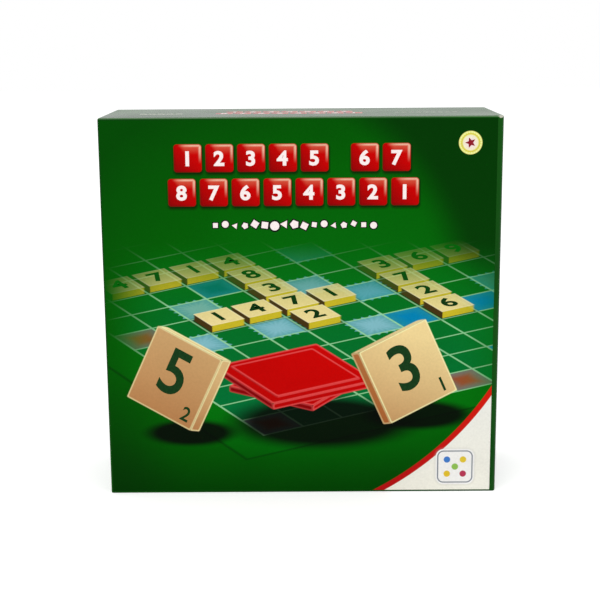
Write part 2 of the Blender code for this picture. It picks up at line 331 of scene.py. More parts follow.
class Panel(Graph):
    """A flat print. Its shapes are masks from 0 to 1 or signed distances in millimetres."""

    def __init__(self, name: str) -> None:
        """Starts a print that is seen along y.

        Args:
            name: The material's name.
        """
        super().__init__(name)
        self.place = self.position()
        self.x, self.y, self.z = self.parts(self.place)
        self.spot = self.node("ShaderNodeCombineXYZ", links={0: self.x, 1: self.z, 2: 1.0})
        self.colour: Any = None

    def lay(self, mask: Value, paint: Any) -> None:
        """Paints where the mask is 1, over what is painted already."""
        self.colour = self.mix(mask, self.colour, paint)

    def dot(self, row: Sequence[float]) -> Socket:
        """Gives row[0] x + row[1] z + row[2]."""
        links = {0: self.spot, 1: tuple(row)}
        return self.node("ShaderNodeVectorMath", {"operation": "DOT_PRODUCT"}, links, "Value")

    def distance(self, centre: Spot, widths: Spot = (1.0, 1.0)) -> Socket:
        """Gives the distance from a centre, measured in an ellipse's half widths."""
        return length((self.x - centre[0]) / widths[0], (self.z - centre[1]) / widths[1])

    def slab(self, across: Value, up: Value, half: Spot, radius: float) -> Socket:
        """Gives the distance from the edge of a rounded rectangle, by the place from its middle."""
        side, rise = abs(across) - (half[0] - radius), abs(up) - (half[1] - radius)
        return length(side.highest(0.0), rise.highest(0.0)) + side.highest(rise).lowest(0.0) - radius

    def polygon(self, corners: Sequence[Spot], radius: float) -> Socket:
        """Gives the distance from a convex polygon's edge.

        Args:
            corners: Its corners in order.
            radius: How far the corners are rounded.

        Returns:
            The distance, negative inside.
        """
        sides = list(zip(corners, [*corners[1:], corners[0]]))
        turn = math.copysign(1.0, sum(a[0] * b[1] - b[0] * a[1] for a, b in sides))
        reach: Optional[Socket] = None
        for start, end in sides:
            out = Vector((end[1] - start[1], start[0] - end[0])).normalized() * turn
            edge = self.dot((out.x, out.y, -out.dot(Vector(start))))
            reach = edge if reach is None else reach.math("SMOOTH_MAX", edge, radius)
        return reach

    def coated(self, finish: Finish) -> Material:
        """Laminates the print.

        Args:
            finish: The coating.

        Returns:
            The material.
        """
        gloss, rough = finish.value
        grain, cloud = self.noise(self.place, 0.6), self.noise(self.place, 0.02, 3.0)
        self.lay(grain.ramp(0.3, 0.7) * 0.06 + cloud.ramp(0.35, 0.7) * 0.07, (0, 0, 0))
        scuffs = self.streaks(self.place, (0.04, 0.6, 0.7), lean=0.6).ramp(0.62, 0.78)
        rough = (cloud * 0.10 + scuffs * 0.12) + (rough - 0.05)
        return self.dress(self.colour, rough, gloss, (self.noise(self.place, 0.35), 0.12, 0.00006))


@dataclass(frozen=True)
class RawCard:
    """Uncoated card with fibres and specks."""

    name: str
    pale: Paint
    dark: Paint
    roughness: float = 0.78

    def material(self) -> Material:
        """Returns the material."""
        graph = Graph(self.name)
        place = graph.position()
        cloud = graph.noise(place, 0.06, 4.0).ramp(0.3, 0.7)
        fibre = graph.streaks(place, (0.25, 0.9, 0.9))
        speck = graph.noise(place, 0.9, 1.0).ramp(0.66, 0.74)
        colour = graph.mix(cloud, self.pale, self.dark)
        colour = graph.mix(fibre.ramp(0.4, 0.75) * 0.35, colour, self.dark)
        colour = graph.mix(speck * 0.4, colour, (120, 108, 92))
        rough = fibre * 0.12 + (self.roughness - 0.06)
        return graph.dress(colour, rough, 0.3, (fibre + speck * 0.4, 0.35, 0.00012))


@dataclass(frozen=True)
class MouldedPlastic:
    """Injection-moulded plastic with faint flow marks."""

    name: str
    colour: Paint
    deep: Paint
    roughness: float
    mottle: float = 0.05

    def material(self) -> Material:
        """Returns the material."""
        graph = Graph(self.name)
        place = graph.position()
        flow = graph.streaks(place, (0.02, 0.12, 0.12), 3.0)
        fine = graph.noise(place, self.mottle, 3.0)
        colour = graph.mix((flow * 0.6 + fine * 0.6).ramp(0.35, 0.85), self.colour, self.deep)
        rough = fine * 0.16 + (self.roughness - 0.08)
        return graph.dress(colour, rough, 0.5, (graph.noise(place, 0.5), 0.15, 0.00008))


@dataclass(frozen=True)
class Weave:
    """Woven cloth, its threads running across two given axes or along its own UV map."""

    name: str
    colour: Paint
    dark: Paint
    threads: float
    by_uv: bool = False
    height: float = 0.00025

    def material(self) -> Material:
        """Returns the material."""
        graph = Graph(self.name)
        place = graph.position()
        if self.by_uv:
            across, up, _ = graph.parts(graph.node("ShaderNodeTexCoord", output="UV"))
        else:
            across, _, up = graph.parts(place)
        warp, weft = ((side * self.threads).off_centre() for side in (across, up))
        pair = self.threads / 2
        over = ((across * pair).math("FRACT") - 0.5) * ((up * pair).math("FRACT") - 0.5)
        thread = graph.math("MULTIPLY_ADD", over.above(0.0), warp - weft, weft)
        cloud = graph.noise(place, 0.05, 3.0)
        # Painted shade: darker towards each thread's edge, where the bump sinks into the gaps between
        # threads.
        colour = graph.mix(thread.ramp(0.15, 0.5), self.colour, self.dark)
        colour = graph.mix(cloud.ramp(0.4, 0.8) * 0.35, colour, self.dark)
        graph.set_shader(Sheen_Weight=0.15)
        return graph.dress(colour, cloud * 0.1 + 0.85, 0.2, (1.0 - thread * 2.0, 0.5, self.height))


@dataclass(frozen=True)
class FlatInk:
    """One printed ink with the print's grain."""

    name: str
    colour: Paint
    faded: Paint

    def material(self) -> Material:
        """Returns the material."""
        graph = Graph(self.name)
        place = graph.position()
        share = graph.noise(place, 0.6).ramp(0.35, 0.75) * 0.45
        rough = graph.noise(place, 0.05) * 0.1 + 0.3
        return graph.dress(graph.mix(share, self.colour, self.faded), rough, 0.06)


@dataclass(frozen=True)
class RulesPaper:
    """Offset paper with a heading bar and blocks of plain lines."""

    name: str = "rules_print"

    def material(self) -> Material:
        """Returns the material."""
        panel = Panel(self.name)
        place, x, z = panel.place, panel.x, panel.z
        cloud = panel.noise(place, 0.4, 3.0).ramp(0.3, 0.7)
        panel.colour = panel.mix(cloud, (240, 239, 232), (228, 227, 219))
        ends = panel.streaks(place, (0.0, 0.0, 0.27), 0.0)
        line = ((z - 2.0) / 3.6).off_centre().ramp(0.30, 0.38)
        ragged = (((x + 96.0) / 100.0).math("FRACT") - ends * 0.35).below(0.62)
        text = (x.above(-94.0) * x.below(94.0)) * (z.above(164.0) * z.below(228.0))
        gaps = panel.noise(place, 0.55, 0.0).below(0.62)
        panel.lay(line * ragged * text * gaps * 0.8, (70, 74, 70))
        bar = panel.slab(x, z - 240.0, (92.0, 5.0), 1.5)
        panel.lay(bar.ramp(0.3, -0.3), (10, 104, 34))
        return panel.dress(panel.colour, 0.62, 0.3, (panel.noise(place, 0.7, 3.0), 0.2, 0.0001))


@dataclass(frozen=True)
class Eye:
    """The viewpoint that the printed scene is drawn from. The printed board's cell is 1 wide."""

    heading: float = 59.6
    fall: float = 21.8
    away: float = 97.3
    focus: float = 2872.0
    aim: Place = (5.0, 5.0, 0.0)
    centre: Spot = (29.2, 122.2)

    def axes(self) -> Tuple[Vector, Vector, Vector]:
        """Returns the directions to its right, up and forward."""
        turn, dip = math.radians(self.heading), math.radians(self.fall)
        level = Vector((math.cos(turn), math.sin(turn), 0.0))
        forward = level * math.cos(dip) - UP * math.sin(dip)
        right = level.cross(UP)
        return right, right.cross(forward), forward

    def place(self) -> Vector:
        """Returns where the eye is, in cells."""
        return Vector(self.aim) - self.away * self.axes()[2]

    def spot(self, point: Sequence[float]) -> Spot:
        """Draws a point of the printed scene.

        Args:
            point: Its place over the printed board, in cells.

        Returns:
            Its place in the print, in millimetres.
        """
        ray = Vector(point) - self.place()
        right, up, depth = (ray.dot(axis) for axis in self.axes())
        scale = self.focus / depth
        return self.centre[0] + scale * right, self.centre[1] + scale * up

    def rows(self, height: float) -> List[Vector]:
        """Returns the rows that take (x, z, 1) in the print to (s w, t w, w) at a height.

        Args:
            height: The height over the printed board, in cells.

        Returns:
            The three rows.
        """
        right, up, forward = self.axes()
        first = self.focus * right + self.centre[0] * forward
        second = self.focus * up + self.centre[1] * forward
        lift = UP * height - self.place()
        drawn = [[row.dot(axis) for axis in (RIGHT, BACK, lift)] for row in (first, second, forward)]
        return list(Matrix(drawn).inverted())


@dataclass(frozen=True)
class PrintedBlock:
    """A block that stands or lies in the printed scene, in the printed board's cells."""

    spot: Spot
    size: Place
    turn: Place
    pale: Colour
    dark: Colour
    base: float = 0.0
    numerals: Tuple[Tuple[str, float, Spot], ...] = ()
    light: Place = (0.30, -0.62, 0.72)
    corner: float = 1.4
    depth: float = 0.72

    def turned(self) -> Matrix:
        """Returns the block's rotation: lean, roll, then turn."""
        lean, roll, turn = (Matrix.Rotation(math.radians(a), 3, x) for a, x in zip(self.turn, "XYZ"))
        return turn @ roll @ lean

    def point(self, share: Sequence[float]) -> Vector:
        """Returns a point of the block, by its shares of the half sizes.

        Args:
            share: The shares. The block's lowest corner stands on what carries it.

        Returns:
            The point.
        """
        turned = self.turned()
        rise = sum(abs(part) * size / 2 for part, size in zip(turned[2], self.size))
        local = Vector([part * size / 2 for part, size in zip(share, self.size)])
        return Vector((*self.spot, self.base + rise)) + turned @ local

    def faces(self, eye: Eye) -> List[Tuple[List[Spot], float]]:
        """Finds the faces that the eye sees.

        Args:
            eye: The viewpoint.

        Returns:
            The corners of each and its share of light.
        """
        light = Vector(self.light).normalized()
        found = []
        for axis in range(3):
            first, second = [other for other in range(3) if other != axis]
            for side in (-1, 1):
                normal = Vector((0, 0, 0))
                normal[axis] = side
                facing = self.turned() @ normal
                if facing.dot(eye.place() - self.point(normal)) <= 0:
                    continue
                corners = []
                for across, up in ((-1, -1), (1, -1), (1, 1), (-1, 1)):
                    share = [side, side, side]
                    share[first], share[second] = across, up
                    corners.append(eye.spot(self.point(share)))
                found.append((corners, max(0.0, facing.dot(light))))
        return found

    def paint(self, panel: Panel, eye: Eye) -> None:
        """Paints the block.

        Args:
            panel: The print.
            eye: The viewpoint.
        """
        for corners, lit in self.faces(eye):
            share = min(1.0, 0.08 + 1.05 * lit)
            tone = [dark + (pale - dark) * share for pale, dark in zip(self.pale, self.dark)]
            under = [level + (dark - level) * self.depth for level, dark in zip(tone, self.dark)]
            left, low = (min(corner[axis] for corner in corners) for axis in (0, 1))
            right, high = (max(corner[axis] for corner in corners) for axis in (0, 1))
            climb = (panel.z - low) / (high - low) + (panel.x - left) / (right - left) * 0.35
            face = panel.mix(climb.ramp(0.0, 1.05), (*under[:3], 1.0), (*tone[:3], 1.0))
            glint = (*(min(1.0, level * 1.12 + 0.10) for level in self.pale[:3]), 1.0)
            reach = panel.polygon(corners, self.corner)
            face = panel.mix(reach.ramp(-1.3, -0.45, True) * (0.30 + 0.5 * share), face, glint)
            panel.lay(reach.ramp(0.25, -0.25), face)


@dataclass(frozen=True)
class TitleRow:
    """A row of glossy printed tiles."""

    start: float
    middle: float
    pitch: float
    count: int
    half: float = 9.3
    corner: float = 2.1

    def centres(self) -> List[Spot]:
        """Returns the middles of its tiles."""
        return [(self.start + self.pitch * place, self.middle) for place in range(self.count)]

    def paint(self, panel: Panel) -> None:
        """Paints the row.

        Args:
            panel: The print.
        """
        half = self.half
        step = (panel.x - (self.start - self.pitch / 2)) / self.pitch
        across = (step.math("FRACT") - 0.5) * self.pitch
        up = panel.z - self.middle
        present = step.above(0.0) * step.below(float(self.count))
        cast = panel.slab(across - half * 0.04, up + half * 0.13, (half, half), self.corner)
        panel.lay(cast.ramp(half * 0.24, -half * 0.10, True) * present * 0.90, (8, 26, 2))
        edge = panel.slab(across, up, (half, half), self.corner)
        right, top = across / half, up / half
        body = panel.mix((right + top).ramp(-1.7, 0.6), (152, 0, 2), (204, 0, 0))
        low = (1.0 - edge.ramp(-half * 0.02, -half * 0.20, True)) * (right + top).ramp(0.3, -1.2)
        body = panel.mix(low * 0.55, body, (118, 8, 10))
        sheen = top.ramp(0.20, 0.95, True) * (right + top * 0.5).ramp(-0.22, 0.22, True)
        body = panel.mix(sheen * 0.60, body, (226, 108, 80))
        side = right.ramp(0.72, 0.90, True) * top.ramp(-0.45, 0.75, True)
        brim = side.highest(top.ramp(0.76, 0.92, True) * right.ramp(-0.75, 0.3, True))
        body = panel.mix(brim * edge.ramp(-0.1, -half * 0.09) * 0.80, body, (252, 210, 180))
        panel.lay(edge.ramp(0.2, -0.2) * present, body)


PALE_BLUE, DEEP_BLUE, SEA, BRICK = (136, 196, 208), (0, 134, 188), (72, 164, 140), (160, 74, 44)


@dataclass(frozen=True)
class FrontPrint:
    """The printed front: green glow, glossy title tiles, a board in perspective, a white corner."""

    eye: Eye = Eye()
    rows: Tuple[TitleRow, ...] = (
        TitleRow(-75.6, 235.0, 21.15, 5),
        TitleRow(42.5, 235.0, 21.15, 2),
        TitleRow(-80.0, 212.0, 21.35, 8),
    )
    cells: float = 13.0
    margin: float = 1.0
    arc_through: Tuple[Spot, Spot, Spot] = ((50.2, -0.2), (92.6, 29.2), (130.4, 73.0))
    badge_spot: Spot = (112.7, 244.2)
    badge_beads: int = 26
    die_spot: Spot = (106.2, 18.2)
    tile_rise: float = 0.16
    tile_half: float = 0.437
    tile_steps: int = 6
    runs: Tuple[Tuple[int, int, int, int], ...] = (
        (2, 6, 6, 7), (4, 5, 5, 10), (7, 4, 8, 8), (1, 9, 5, 10), (7, 7, 10, 8)
    )
    squares: Tuple[Tuple[int, int, Paint, bool], ...] = (
        (2, 7, (120, 184, 168), True), (3, 5, PALE_BLUE, True), (1, 5, PALE_BLUE, True),
        (5, 7, (120, 186, 190), True), (6, 6, (96, 176, 190), True), (5, 4, PALE_BLUE, True),
        (9, 5, SEA, True), (8, 2, SEA, True), (6, 9, SEA, True), (6, 4, DEEP_BLUE, False),
        (8, 4, DEEP_BLUE, False), (7, 1, DEEP_BLUE, False), (3, 8, (0, 120, 110), False),
        (0, 6, BRICK, False), (5, 0, BRICK, False), (0, 0, (120, 10, 10), False),
    )
    shadows: Tuple[Tuple[Spot, Spot], ...] = (
        ((-78.0, 44.0), (30.0, 9.0)), ((14.0, 51.0), (62.0, 18.0)), ((80.0, 56.0), (36.0, 10.0))
    )
    pips: Tuple[Tuple[float, float, Paint], ...] = (
        (-5.6, 5.2, (70, 130, 210)), (5.6, 5.2, (236, 206, 60)), (0.0, 0.0, (150, 200, 90)),
        (-5.6, -5.2, (236, 200, 50)), (5.6, -5.2, (190, 60, 90)),
    )

    def glow(self, panel: Panel) -> None:
        """Paints the green background.

        Args:
            panel: The print.
        """
        stops = ((0.0, (0, 114, 16)), (0.36, (0, 104, 6)), (0.64, (0, 94, 1)), (1.0, (0, 74, 1)))
        spread = panel.distance((26.0, 112.0), (1.15, 1.0)) / 185.0
        panel.colour = panel.node("ShaderNodeValToRGB", {"stops": stops}, {0: spread})
        lobe = panel.distance((-62.0, 126.0)).ramp(156.0, 186.0, True)
        panel.lay(lobe * panel.z.ramp(100.0, 175.0, True) * 0.85, (0, 50, 1))
        panel.lay(panel.z.ramp(56.0, -8.0, True) * 0.75, (0, 54, 0))
        left = panel.x.ramp(-78.0, -137.0, True) * panel.z.ramp(110.0, 20.0, True)
        panel.lay(left * 0.55, (0, 44, 0))

    def on_board(self, panel: Panel, height: float) -> Tuple[Socket, Socket]:
        """Gives the place along both sides of the printed board, in cells, at a height over it."""
        first, second, third = (panel.dot(row) for row in self.eye.rows(height))
        return first / third, second / third

    def fading(self, panel: Panel) -> Socket:
        """Gives how far the printed board shows: all in front, nothing at the back."""
        sides = panel.x.ramp(-136.0, -84.0, True) * panel.x.ramp(158.0, 100.0, True)
        return panel.z.ramp(180.0, 132.0, True) * sides

    def board(self, panel: Panel, fade: Socket) -> None:
        """Paints the printed board's card, cells, premium squares and lines.

        Args:
            panel: The print.
            fade: How far the board shows.
        """
        across, up = self.on_board(panel, 0.0)
        near, far = across.lowest(up), across.highest(up)
        card = near + self.margin
        light = panel.z.ramp(10.0, 60.0, True) * fade
        panel.lay(card.ramp(-0.03, 0.03) * light * 0.55, (0, 124, 14))
        panel.lay(card.ramp(-0.07, -0.02) * card.ramp(0.06, 0.0) * 0.60, (0, 48, 2))
        shown = near.above(0.0) * far.below(self.cells) * fade
        tint = panel.mix(panel.z.ramp(60.0, 150.0), (0, 116, 62), (0, 112, 26))
        panel.lay(shown * 0.80, tint)
        for column, row, paint, jagged in self.squares:
            side, rise = across - (column + 0.5), up - (row + 0.5)
            away = abs(side).highest(abs(rise))
            if jagged:
                teeth = (side.math("ARCTAN2", rise) * (9 / math.pi)).off_centre()
                away = away - teeth * 0.26 + 0.02
            inner = panel.mix(away.ramp(0.10, 0.46, True) * 0.45, paint, (40, 150, 150))
            panel.lay(away.ramp(0.50, 0.475) * shown * 0.94, inner)
        line = across.off_centre().highest(up.off_centre()).ramp(0.466, 0.478)
        lined = near.above(-0.03) * far.below(self.cells + 0.03)
        panel.lay(line * lined * fade * 0.80, (158, 222, 164))

    def run_reach(self, across: Socket, up: Socket) -> Socket:
        """Gives how far a place lies outside the runs of tiles.

        Args:
            across: The place along one side of the board, in cells.
            up: The place along the other.

        Returns:
            The distance in cells.
        """
        reach: Optional[Socket] = None
        for low_s, low_t, high_s, high_t in self.runs:
            side = abs(across - (low_s + high_s) / 2) - (high_s - low_s) / 2
            gap = side.highest(abs(up - (low_t + high_t) / 2) - (high_t - low_t) / 2)
            reach = gap if reach is None else reach.lowest(gap)
        return reach

    def board_tiles(self, panel: Panel, fade: Socket) -> None:
        """Paints runs of cream tiles on the printed board, from their foot up.

        Args:
            panel: The print.
            fade: How far the board shows.
        """
        bare = panel.colour
        for number in range(self.tile_steps):
            across, up = self.on_board(panel, self.tile_rise * number / (self.tile_steps - 1))
            shape = across.off_centre().highest(up.off_centre()) - self.tile_half
            shape = shape.highest(self.run_reach(across, up))
            if number == 0:
                panel.lay(shape.ramp(0.09, -0.01, True) * 0.80, (6, 26, 4))
            if number < self.tile_steps - 1:
                leans = across.math("FRACT").below(up.math("FRACT"))
                panel.lay(shape.ramp(0.012, -0.012), panel.mix(leans, (206, 188, 40), (70, 52, 18)))
        face = panel.mix(panel.z.ramp(120.0, 165.0), (246, 226, 158), (204, 200, 112))
        face = panel.mix(shape.ramp(-0.05, -0.01) * 0.5, face, (255, 246, 204))
        panel.lay(shape.ramp(0.014, -0.014), face)
        panel.colour = panel.mix(fade, bare, panel.colour)

    def blocks(self) -> List[PrintedBlock]:
        """Returns the trays and the tiles in the printed foreground, back to front."""
        wood, card = (ink(252, 226, 160), ink(170, 92, 40)), (ink(218, 2, 0), ink(128, 0, 4))
        size, flat, under, spot = (1.78, 0.42, 1.78), (0.0, 0.0, 0.0), (0.0, 0.0, 27.0), (1.32, 0.90)
        left, right = (
            ((digit, 1.45, (-0.04, 0.08)), (small, 0.46, (0.70, -0.70)))
            for digit, small in ("52", "31")
        )
        return [
            PrintedBlock((1.52, 1.12), (2.2, 2.2, 0.14), under, *card, 0.50, depth=0.2),
            PrintedBlock(spot, (2.6, 2.6, 0.15), flat, *card, 0.78, depth=0.2),
            PrintedBlock(spot, (2.1, 2.1, 0.03), flat, *card, 0.93, depth=0.1),
            PrintedBlock((-1.22, 1.60), size, (-24.0, 14.0, -66.0), *wood, numerals=left),
            PrintedBlock((3.22, -0.62), size, (-24.0, -14.0, 2.0), *wood, numerals=right),
        ]

    def foreground(self, panel: Panel) -> None:
        """Paints the trays and the large tiles over their soft shadows.

        Args:
            panel: The print.
        """
        for centre, widths in self.shadows:
            panel.lay(panel.distance(centre, widths).ramp(1.25, 0.75, True) * 0.97, (2, 6, 2))
        for block in self.blocks():
            block.paint(panel, self.eye)

    def arc(self) -> Tuple[Spot, float]:
        """Returns the middle and the radius of the circle that bounds the white corner."""
        first, second, third = (Vector(spot) for spot in self.arc_through)
        rows = Matrix((2 * (second - first), 2 * (third - first)))
        right = Vector([spot.dot(spot) - first.dot(first) for spot in (second, third)])
        centre = rows.inverted() @ right
        return tuple(centre), (centre - first).length

    def corner(self, panel: Panel) -> None:
        """Paints the white corner with its red arc and the face of a die.

        Args:
            panel: The print.
        """
        centre, radius = self.arc()
        away = panel.distance(centre) - radius
        white = panel.mix(panel.z.ramp(0.0, 70.0), (255, 253, 240), (246, 246, 238))
        panel.lay(away.ramp(0.0, 0.4), white)
        red = panel.mix(panel.z.ramp(0.0, 80.0), (188, 18, 22), (222, 30, 12))
        panel.lay(abs(away).ramp(2.15, 1.75), red)
        middle, rise = self.die_spot
        die = panel.slab(panel.x - middle, panel.z - rise, (12.0, 11.4), 4.0)
        panel.lay(die.ramp(3.6, 1.2, True) * 0.20, (170, 168, 164))
        panel.lay(die.ramp(1.7, 1.3), (254, 253, 250))
        panel.lay(abs(die).ramp(0.56, 0.26), (122, 130, 142))
        for across, up, tint in self.pips:
            panel.lay(panel.distance((middle + across, rise + up)).ramp(2.5, 2.1), tint)

    def badge(self, panel: Panel) -> None:
        """Paints the yellow ring in the upper right.

        Args:
            panel: The print.
        """
        middle, rise = self.badge_spot
        away = panel.distance(self.badge_spot)
        panel.lay(away.ramp(8.6, 7.4, True) * 0.5, (0, 30, 0))
        panel.lay(away.ramp(8.0, 7.6), (246, 248, 140))
        ring = panel.mix(away.ramp(5.2, 6.6), (236, 226, 110), (214, 206, 52))
        panel.lay(away.ramp(6.7, 6.3), ring)
        turn = (panel.x - middle).math("ARCTAN2", panel.z - rise)
        beads = (turn * (self.badge_beads / (2 * math.pi))).off_centre().ramp(0.30, 0.12)
        panel.lay(beads * abs(away - 6.9).ramp(0.75, 0.35) * 0.75, (255, 253, 190))
        disc = panel.mix(away.ramp(1.5, 5.0), (254, 232, 236), (252, 246, 206))
        panel.lay(away.ramp(5.5, 4.9), disc)

    def material(self) -> Material:
        """Returns the material of the whole front."""
        panel = Panel("front_print")
        fade = self.fading(panel)
        self.glow(panel)
        self.board(panel, fade)
        self.board_tiles(panel, fade)
        self.foreground(panel)
        for row in self.rows:
            row.paint(panel)
        self.corner(panel)
        self.badge(panel)
        return panel.coated(Finish.FRONT)

    def numeral_ink(self) -> Material:
        """Returns the dark ink of the board's numerals, which fades with the board."""
        panel = Panel("board_numeral_ink")
        share = panel.noise(panel.place, 0.6).ramp(0.3, 0.8) * 0.3
        dark = panel.mix(share, (10, 50, 14), (20, 70, 16))
        panel.colour = panel.mix(self.fading(panel), (0, 100, 6), dark)
        return panel.coated(Finish.FRONT)


@dataclass(frozen=True)
class BackPrint:
    """The print on the base's outer face: a framed green ground, small tiles and a plain board."""

    frame_half: Spot = (120.0, 118.0)
    middle: float = 131.0
    row: TitleRow = TitleRow(-63.0, 224.0, 18.0, 8, 7.6, 1.8)
    board_middle: float = 118.0
    cell: float = 14.0
    reach: int = 4
    squares: Tuple[Tuple[int, int, Paint], ...] = (
        (0, 4, (170, 60, 44)), (4, 0, (170, 60, 44)), (4, 4, (170, 60, 44)), (2, 2, DEEP_BLUE),
        (1, 3, PALE_BLUE), (3, 1, PALE_BLUE), (0, 0, (236, 206, 90)),
    )

    def material(self) -> Material:
        """Returns the material."""
        panel = Panel("base_back_print")
        x, rise = panel.x, panel.z - self.board_middle
        glow = panel.distance((0.0, self.middle)).ramp(20.0, 180.0, True)
        panel.colour = panel.mix(glow, (0, 104, 14), (0, 58, 4))
        frame = panel.slab(x, panel.z - self.middle, self.frame_half, 6.0)
        panel.lay(abs(frame).ramp(0.75, 0.45), (214, 206, 90))
        half = (self.reach + 0.5) * self.cell
        shade = panel.slab(x - 1.0, rise + 2.0, (half + 7.0, half + 7.0), 3.0)
        panel.lay(shade.ramp(3.0, -2.0, True) * 0.6, (0, 26, 0))
        card = panel.slab(x, rise, (half + 6.0, half + 6.0), 2.5)
        panel.lay(card.ramp(0.3, -0.3), (0, 120, 34))
        across, up = x / self.cell, rise / self.cell
        away = abs(across).highest(abs(up))
        panel.lay(away.below(self.reach + 0.5), (0, 112, 54))
        for column, line, paint in self.squares:
            off = abs(abs(across) - float(column)).highest(abs(abs(up) - float(line)))
            panel.lay(off.below(0.5), paint)
        lines = (across + 0.5).off_centre().highest((up + 0.5).off_centre()).ramp(0.462, 0.474)
        panel.lay(lines * away.below(self.reach + 0.54), (176, 232, 176))
        self.row.paint(panel)
        return panel.coated(Finish.WALL)


@dataclass(frozen=True)
class WallPrint:
    """The print on the lid's walls and folds, or on the base, with a painted highlight along the top
    front fold.
    """

    name: str
    low: Place
    high: Place
    rows: Tuple[TitleRow, ...] = ()
    scrape: Spot = (4.6, 1.9)
    dashes: Tuple[Tuple[float, float, Spot, Spot], ...] = (
        (-9.0, 6.2, (-112.0, -81.0), (2.2, 1.5)),
        (-13.5, 6.2, (-109.0, -84.2), (1.7, 0.5)),
        (-6.0, 5.0, (64.0, 109.0), (1.5, 0.7)),
    )

    def marks(self, panel: Panel) -> None:
        """Paints pale dashes to the left of the wall's tiles and a dotted line to their right.

        Args:
            panel: The print.
        """
        for centre, pitch, (start, end), half in self.dashes:
            step = ((panel.x - start) / pitch).math("FRACT") * pitch - pitch / 2
            dash = panel.slab(step, panel.z - centre, half, 0.4).ramp(0.25, -0.15)
            panel.lay(dash * (panel.x.above(start) * panel.x.below(end)), (236, 234, 216))

    def material(self) -> Material:
        """Returns the material."""
        panel = Panel(self.name)
        place, x, y, z = panel.place, panel.x, panel.y, panel.z
        _, front, bottom = (value / MM for value in self.low)
        right, _, top = (value / MM for value in self.high)
        middle = (bottom + top) / 2
        sideways = abs(x).above(right - 0.6)
        turned = (middle - z) * x.math("SIGN")
        panel.colour = panel.mix(panel.noise(place, 0.012).ramp(0.3, 0.7), (30, 92, 22), (10, 66, 12))
        if self.rows:
            along = panel.math("MULTIPLY_ADD", sideways, turned - x, x)
            panel.x, panel.z = along + z.below(bottom + 0.6) * 1000.0, y
            for row in self.rows:
                row.paint(panel)
            self.marks(panel)
            panel.lay((y - front).ramp(5.0, 0.6, True) * (1.0 - sideways) * 0.5, (0, 74, 6))
        # Painted highlight: a pale line along the fold between the top wall and the front, where the
        # rounded fold would catch light.
        panel.lay((top - z).highest(y - front).ramp(0.85, 0.40) * 0.42, (166, 200, 158))
        corner = length(abs(x) - right, abs(z - middle) - (top - middle))
        bare = (corner + panel.noise(place, 0.07, 4.0).ramp(0.36, 0.60) * 1.4).ramp(0.80, 0.35)
        if self.rows:
            wide, deep = self.scrape
            tip = length((x - right) / wide, (z - top) / deep, (y - front) / deep)
            tip = tip + (panel.noise(place, 0.5) - 0.5) * 0.5
            bare = bare.highest(tip.ramp(1.08, 0.86))
        panel.lay(bare * 0.86, (214, 212, 198))
        return panel.coated(Finish.WALL)


def lies(item: Any, axis: int, low: float, high: Optional[float] = None) -> bool:
    """Tells whether all of an edge's or a face's points lie at a level, or between two."""
    top = low if high is None else high
    return all(low - CLOSE < vert.co[axis] < top + CLOSE for vert in item.verts)


def block(bm: Shape, low: Sequence[float], high: Sequence[float]) -> List[Any]:
    """Adds a box between two corners.

    Args:
        bm: The mesh to add it to.
        low: Its lowest corner.
        high: Its highest corner.

    Returns:
        Its vertices.
    """
    start, end = Vector(low), Vector(high)
    shape = Matrix.Translation((start + end) / 2) @ Matrix.Diagonal((*(end - start), 1))
    return bmesh.ops.create_cube(bm, size=1, matrix=shape)["verts"]


def round_off(bm: Shape, edges: Iterable[Any], radius: float, segments: int) -> None:
    """Rounds edges.

    Args:
        bm: The mesh.
        edges: Its edges to round.
        radius: The radius.
        segments: How many faces a rounding has.
    """
    bmesh.ops.bevel(
        bm, geom=list(dict.fromkeys(edges)), offset=radius, offset_type="OFFSET", segments=segments,
        profile=PLAIN_PROFILE, affect="EDGES", clamp_overlap=True, material=-1,
    )


def pull(bm: Shape, grown: Dict[str, Any], vec: Sequence[float]) -> List[Any]:
    """Moves what an extrusion has made, and returns its edges.

    Args:
        bm: The mesh.
        grown: What the extrusion returned.
        vec: How far it moves.

    Returns:
        The edges.
    """
    verts, edges = (
        [item for item in grown["geom"] if isinstance(item, kind)]
        for kind in (bmesh.types.BMVert, bmesh.types.BMEdge)
    )
    bmesh.ops.translate(bm, verts=verts, vec=vec)
    return edges


def sweep(bm: Shape, line: Sequence[Spot], left: float, right: float, steps: int) -> None:
    """Draws a line of (y, z) places out into a sheet.

    Args:
        bm: The mesh.
        line: The line.
        left: Where the sheet starts.
        right: Where it ends.
        steps: How many faces it is wide.
    """
    verts = [bm.verts.new((left, y, z)) for y, z in line]
    edges = [bm.edges.new(pair) for pair in zip(verts, verts[1:])]
    for _ in range(steps):
        grown = bmesh.ops.extrude_edge_only(bm, edges=edges)
        edges = pull(bm, grown, ((right - left) / steps, 0, 0))


def mesh_of(bm: Shape, name: str, materials: Sequence[Material] = ()) -> bpy.types.Mesh:
    """Turns a bmesh into a mesh, and frees it.

    Args:
        bm: The bmesh.
        name: The mesh's name.
        materials: Its materials, in the order of its material indices.

    Returns:
        The mesh.
    """
    mesh = bpy.data.meshes.new(name)
    bm.to_mesh(mesh)
    bm.free()
    for material in materials:
        mesh.materials.append(material)
    return mesh


def add(name: str, data: Any) -> Thing:
    """Adds an object to the scene.

    Args:
        name: Its name.
        data: Its mesh, curve, lamp or camera.

    Returns:
        The object.
    """
    made = bpy.data.objects.new(name, data)
    bpy.context.scene.collection.objects.link(made)
    return made


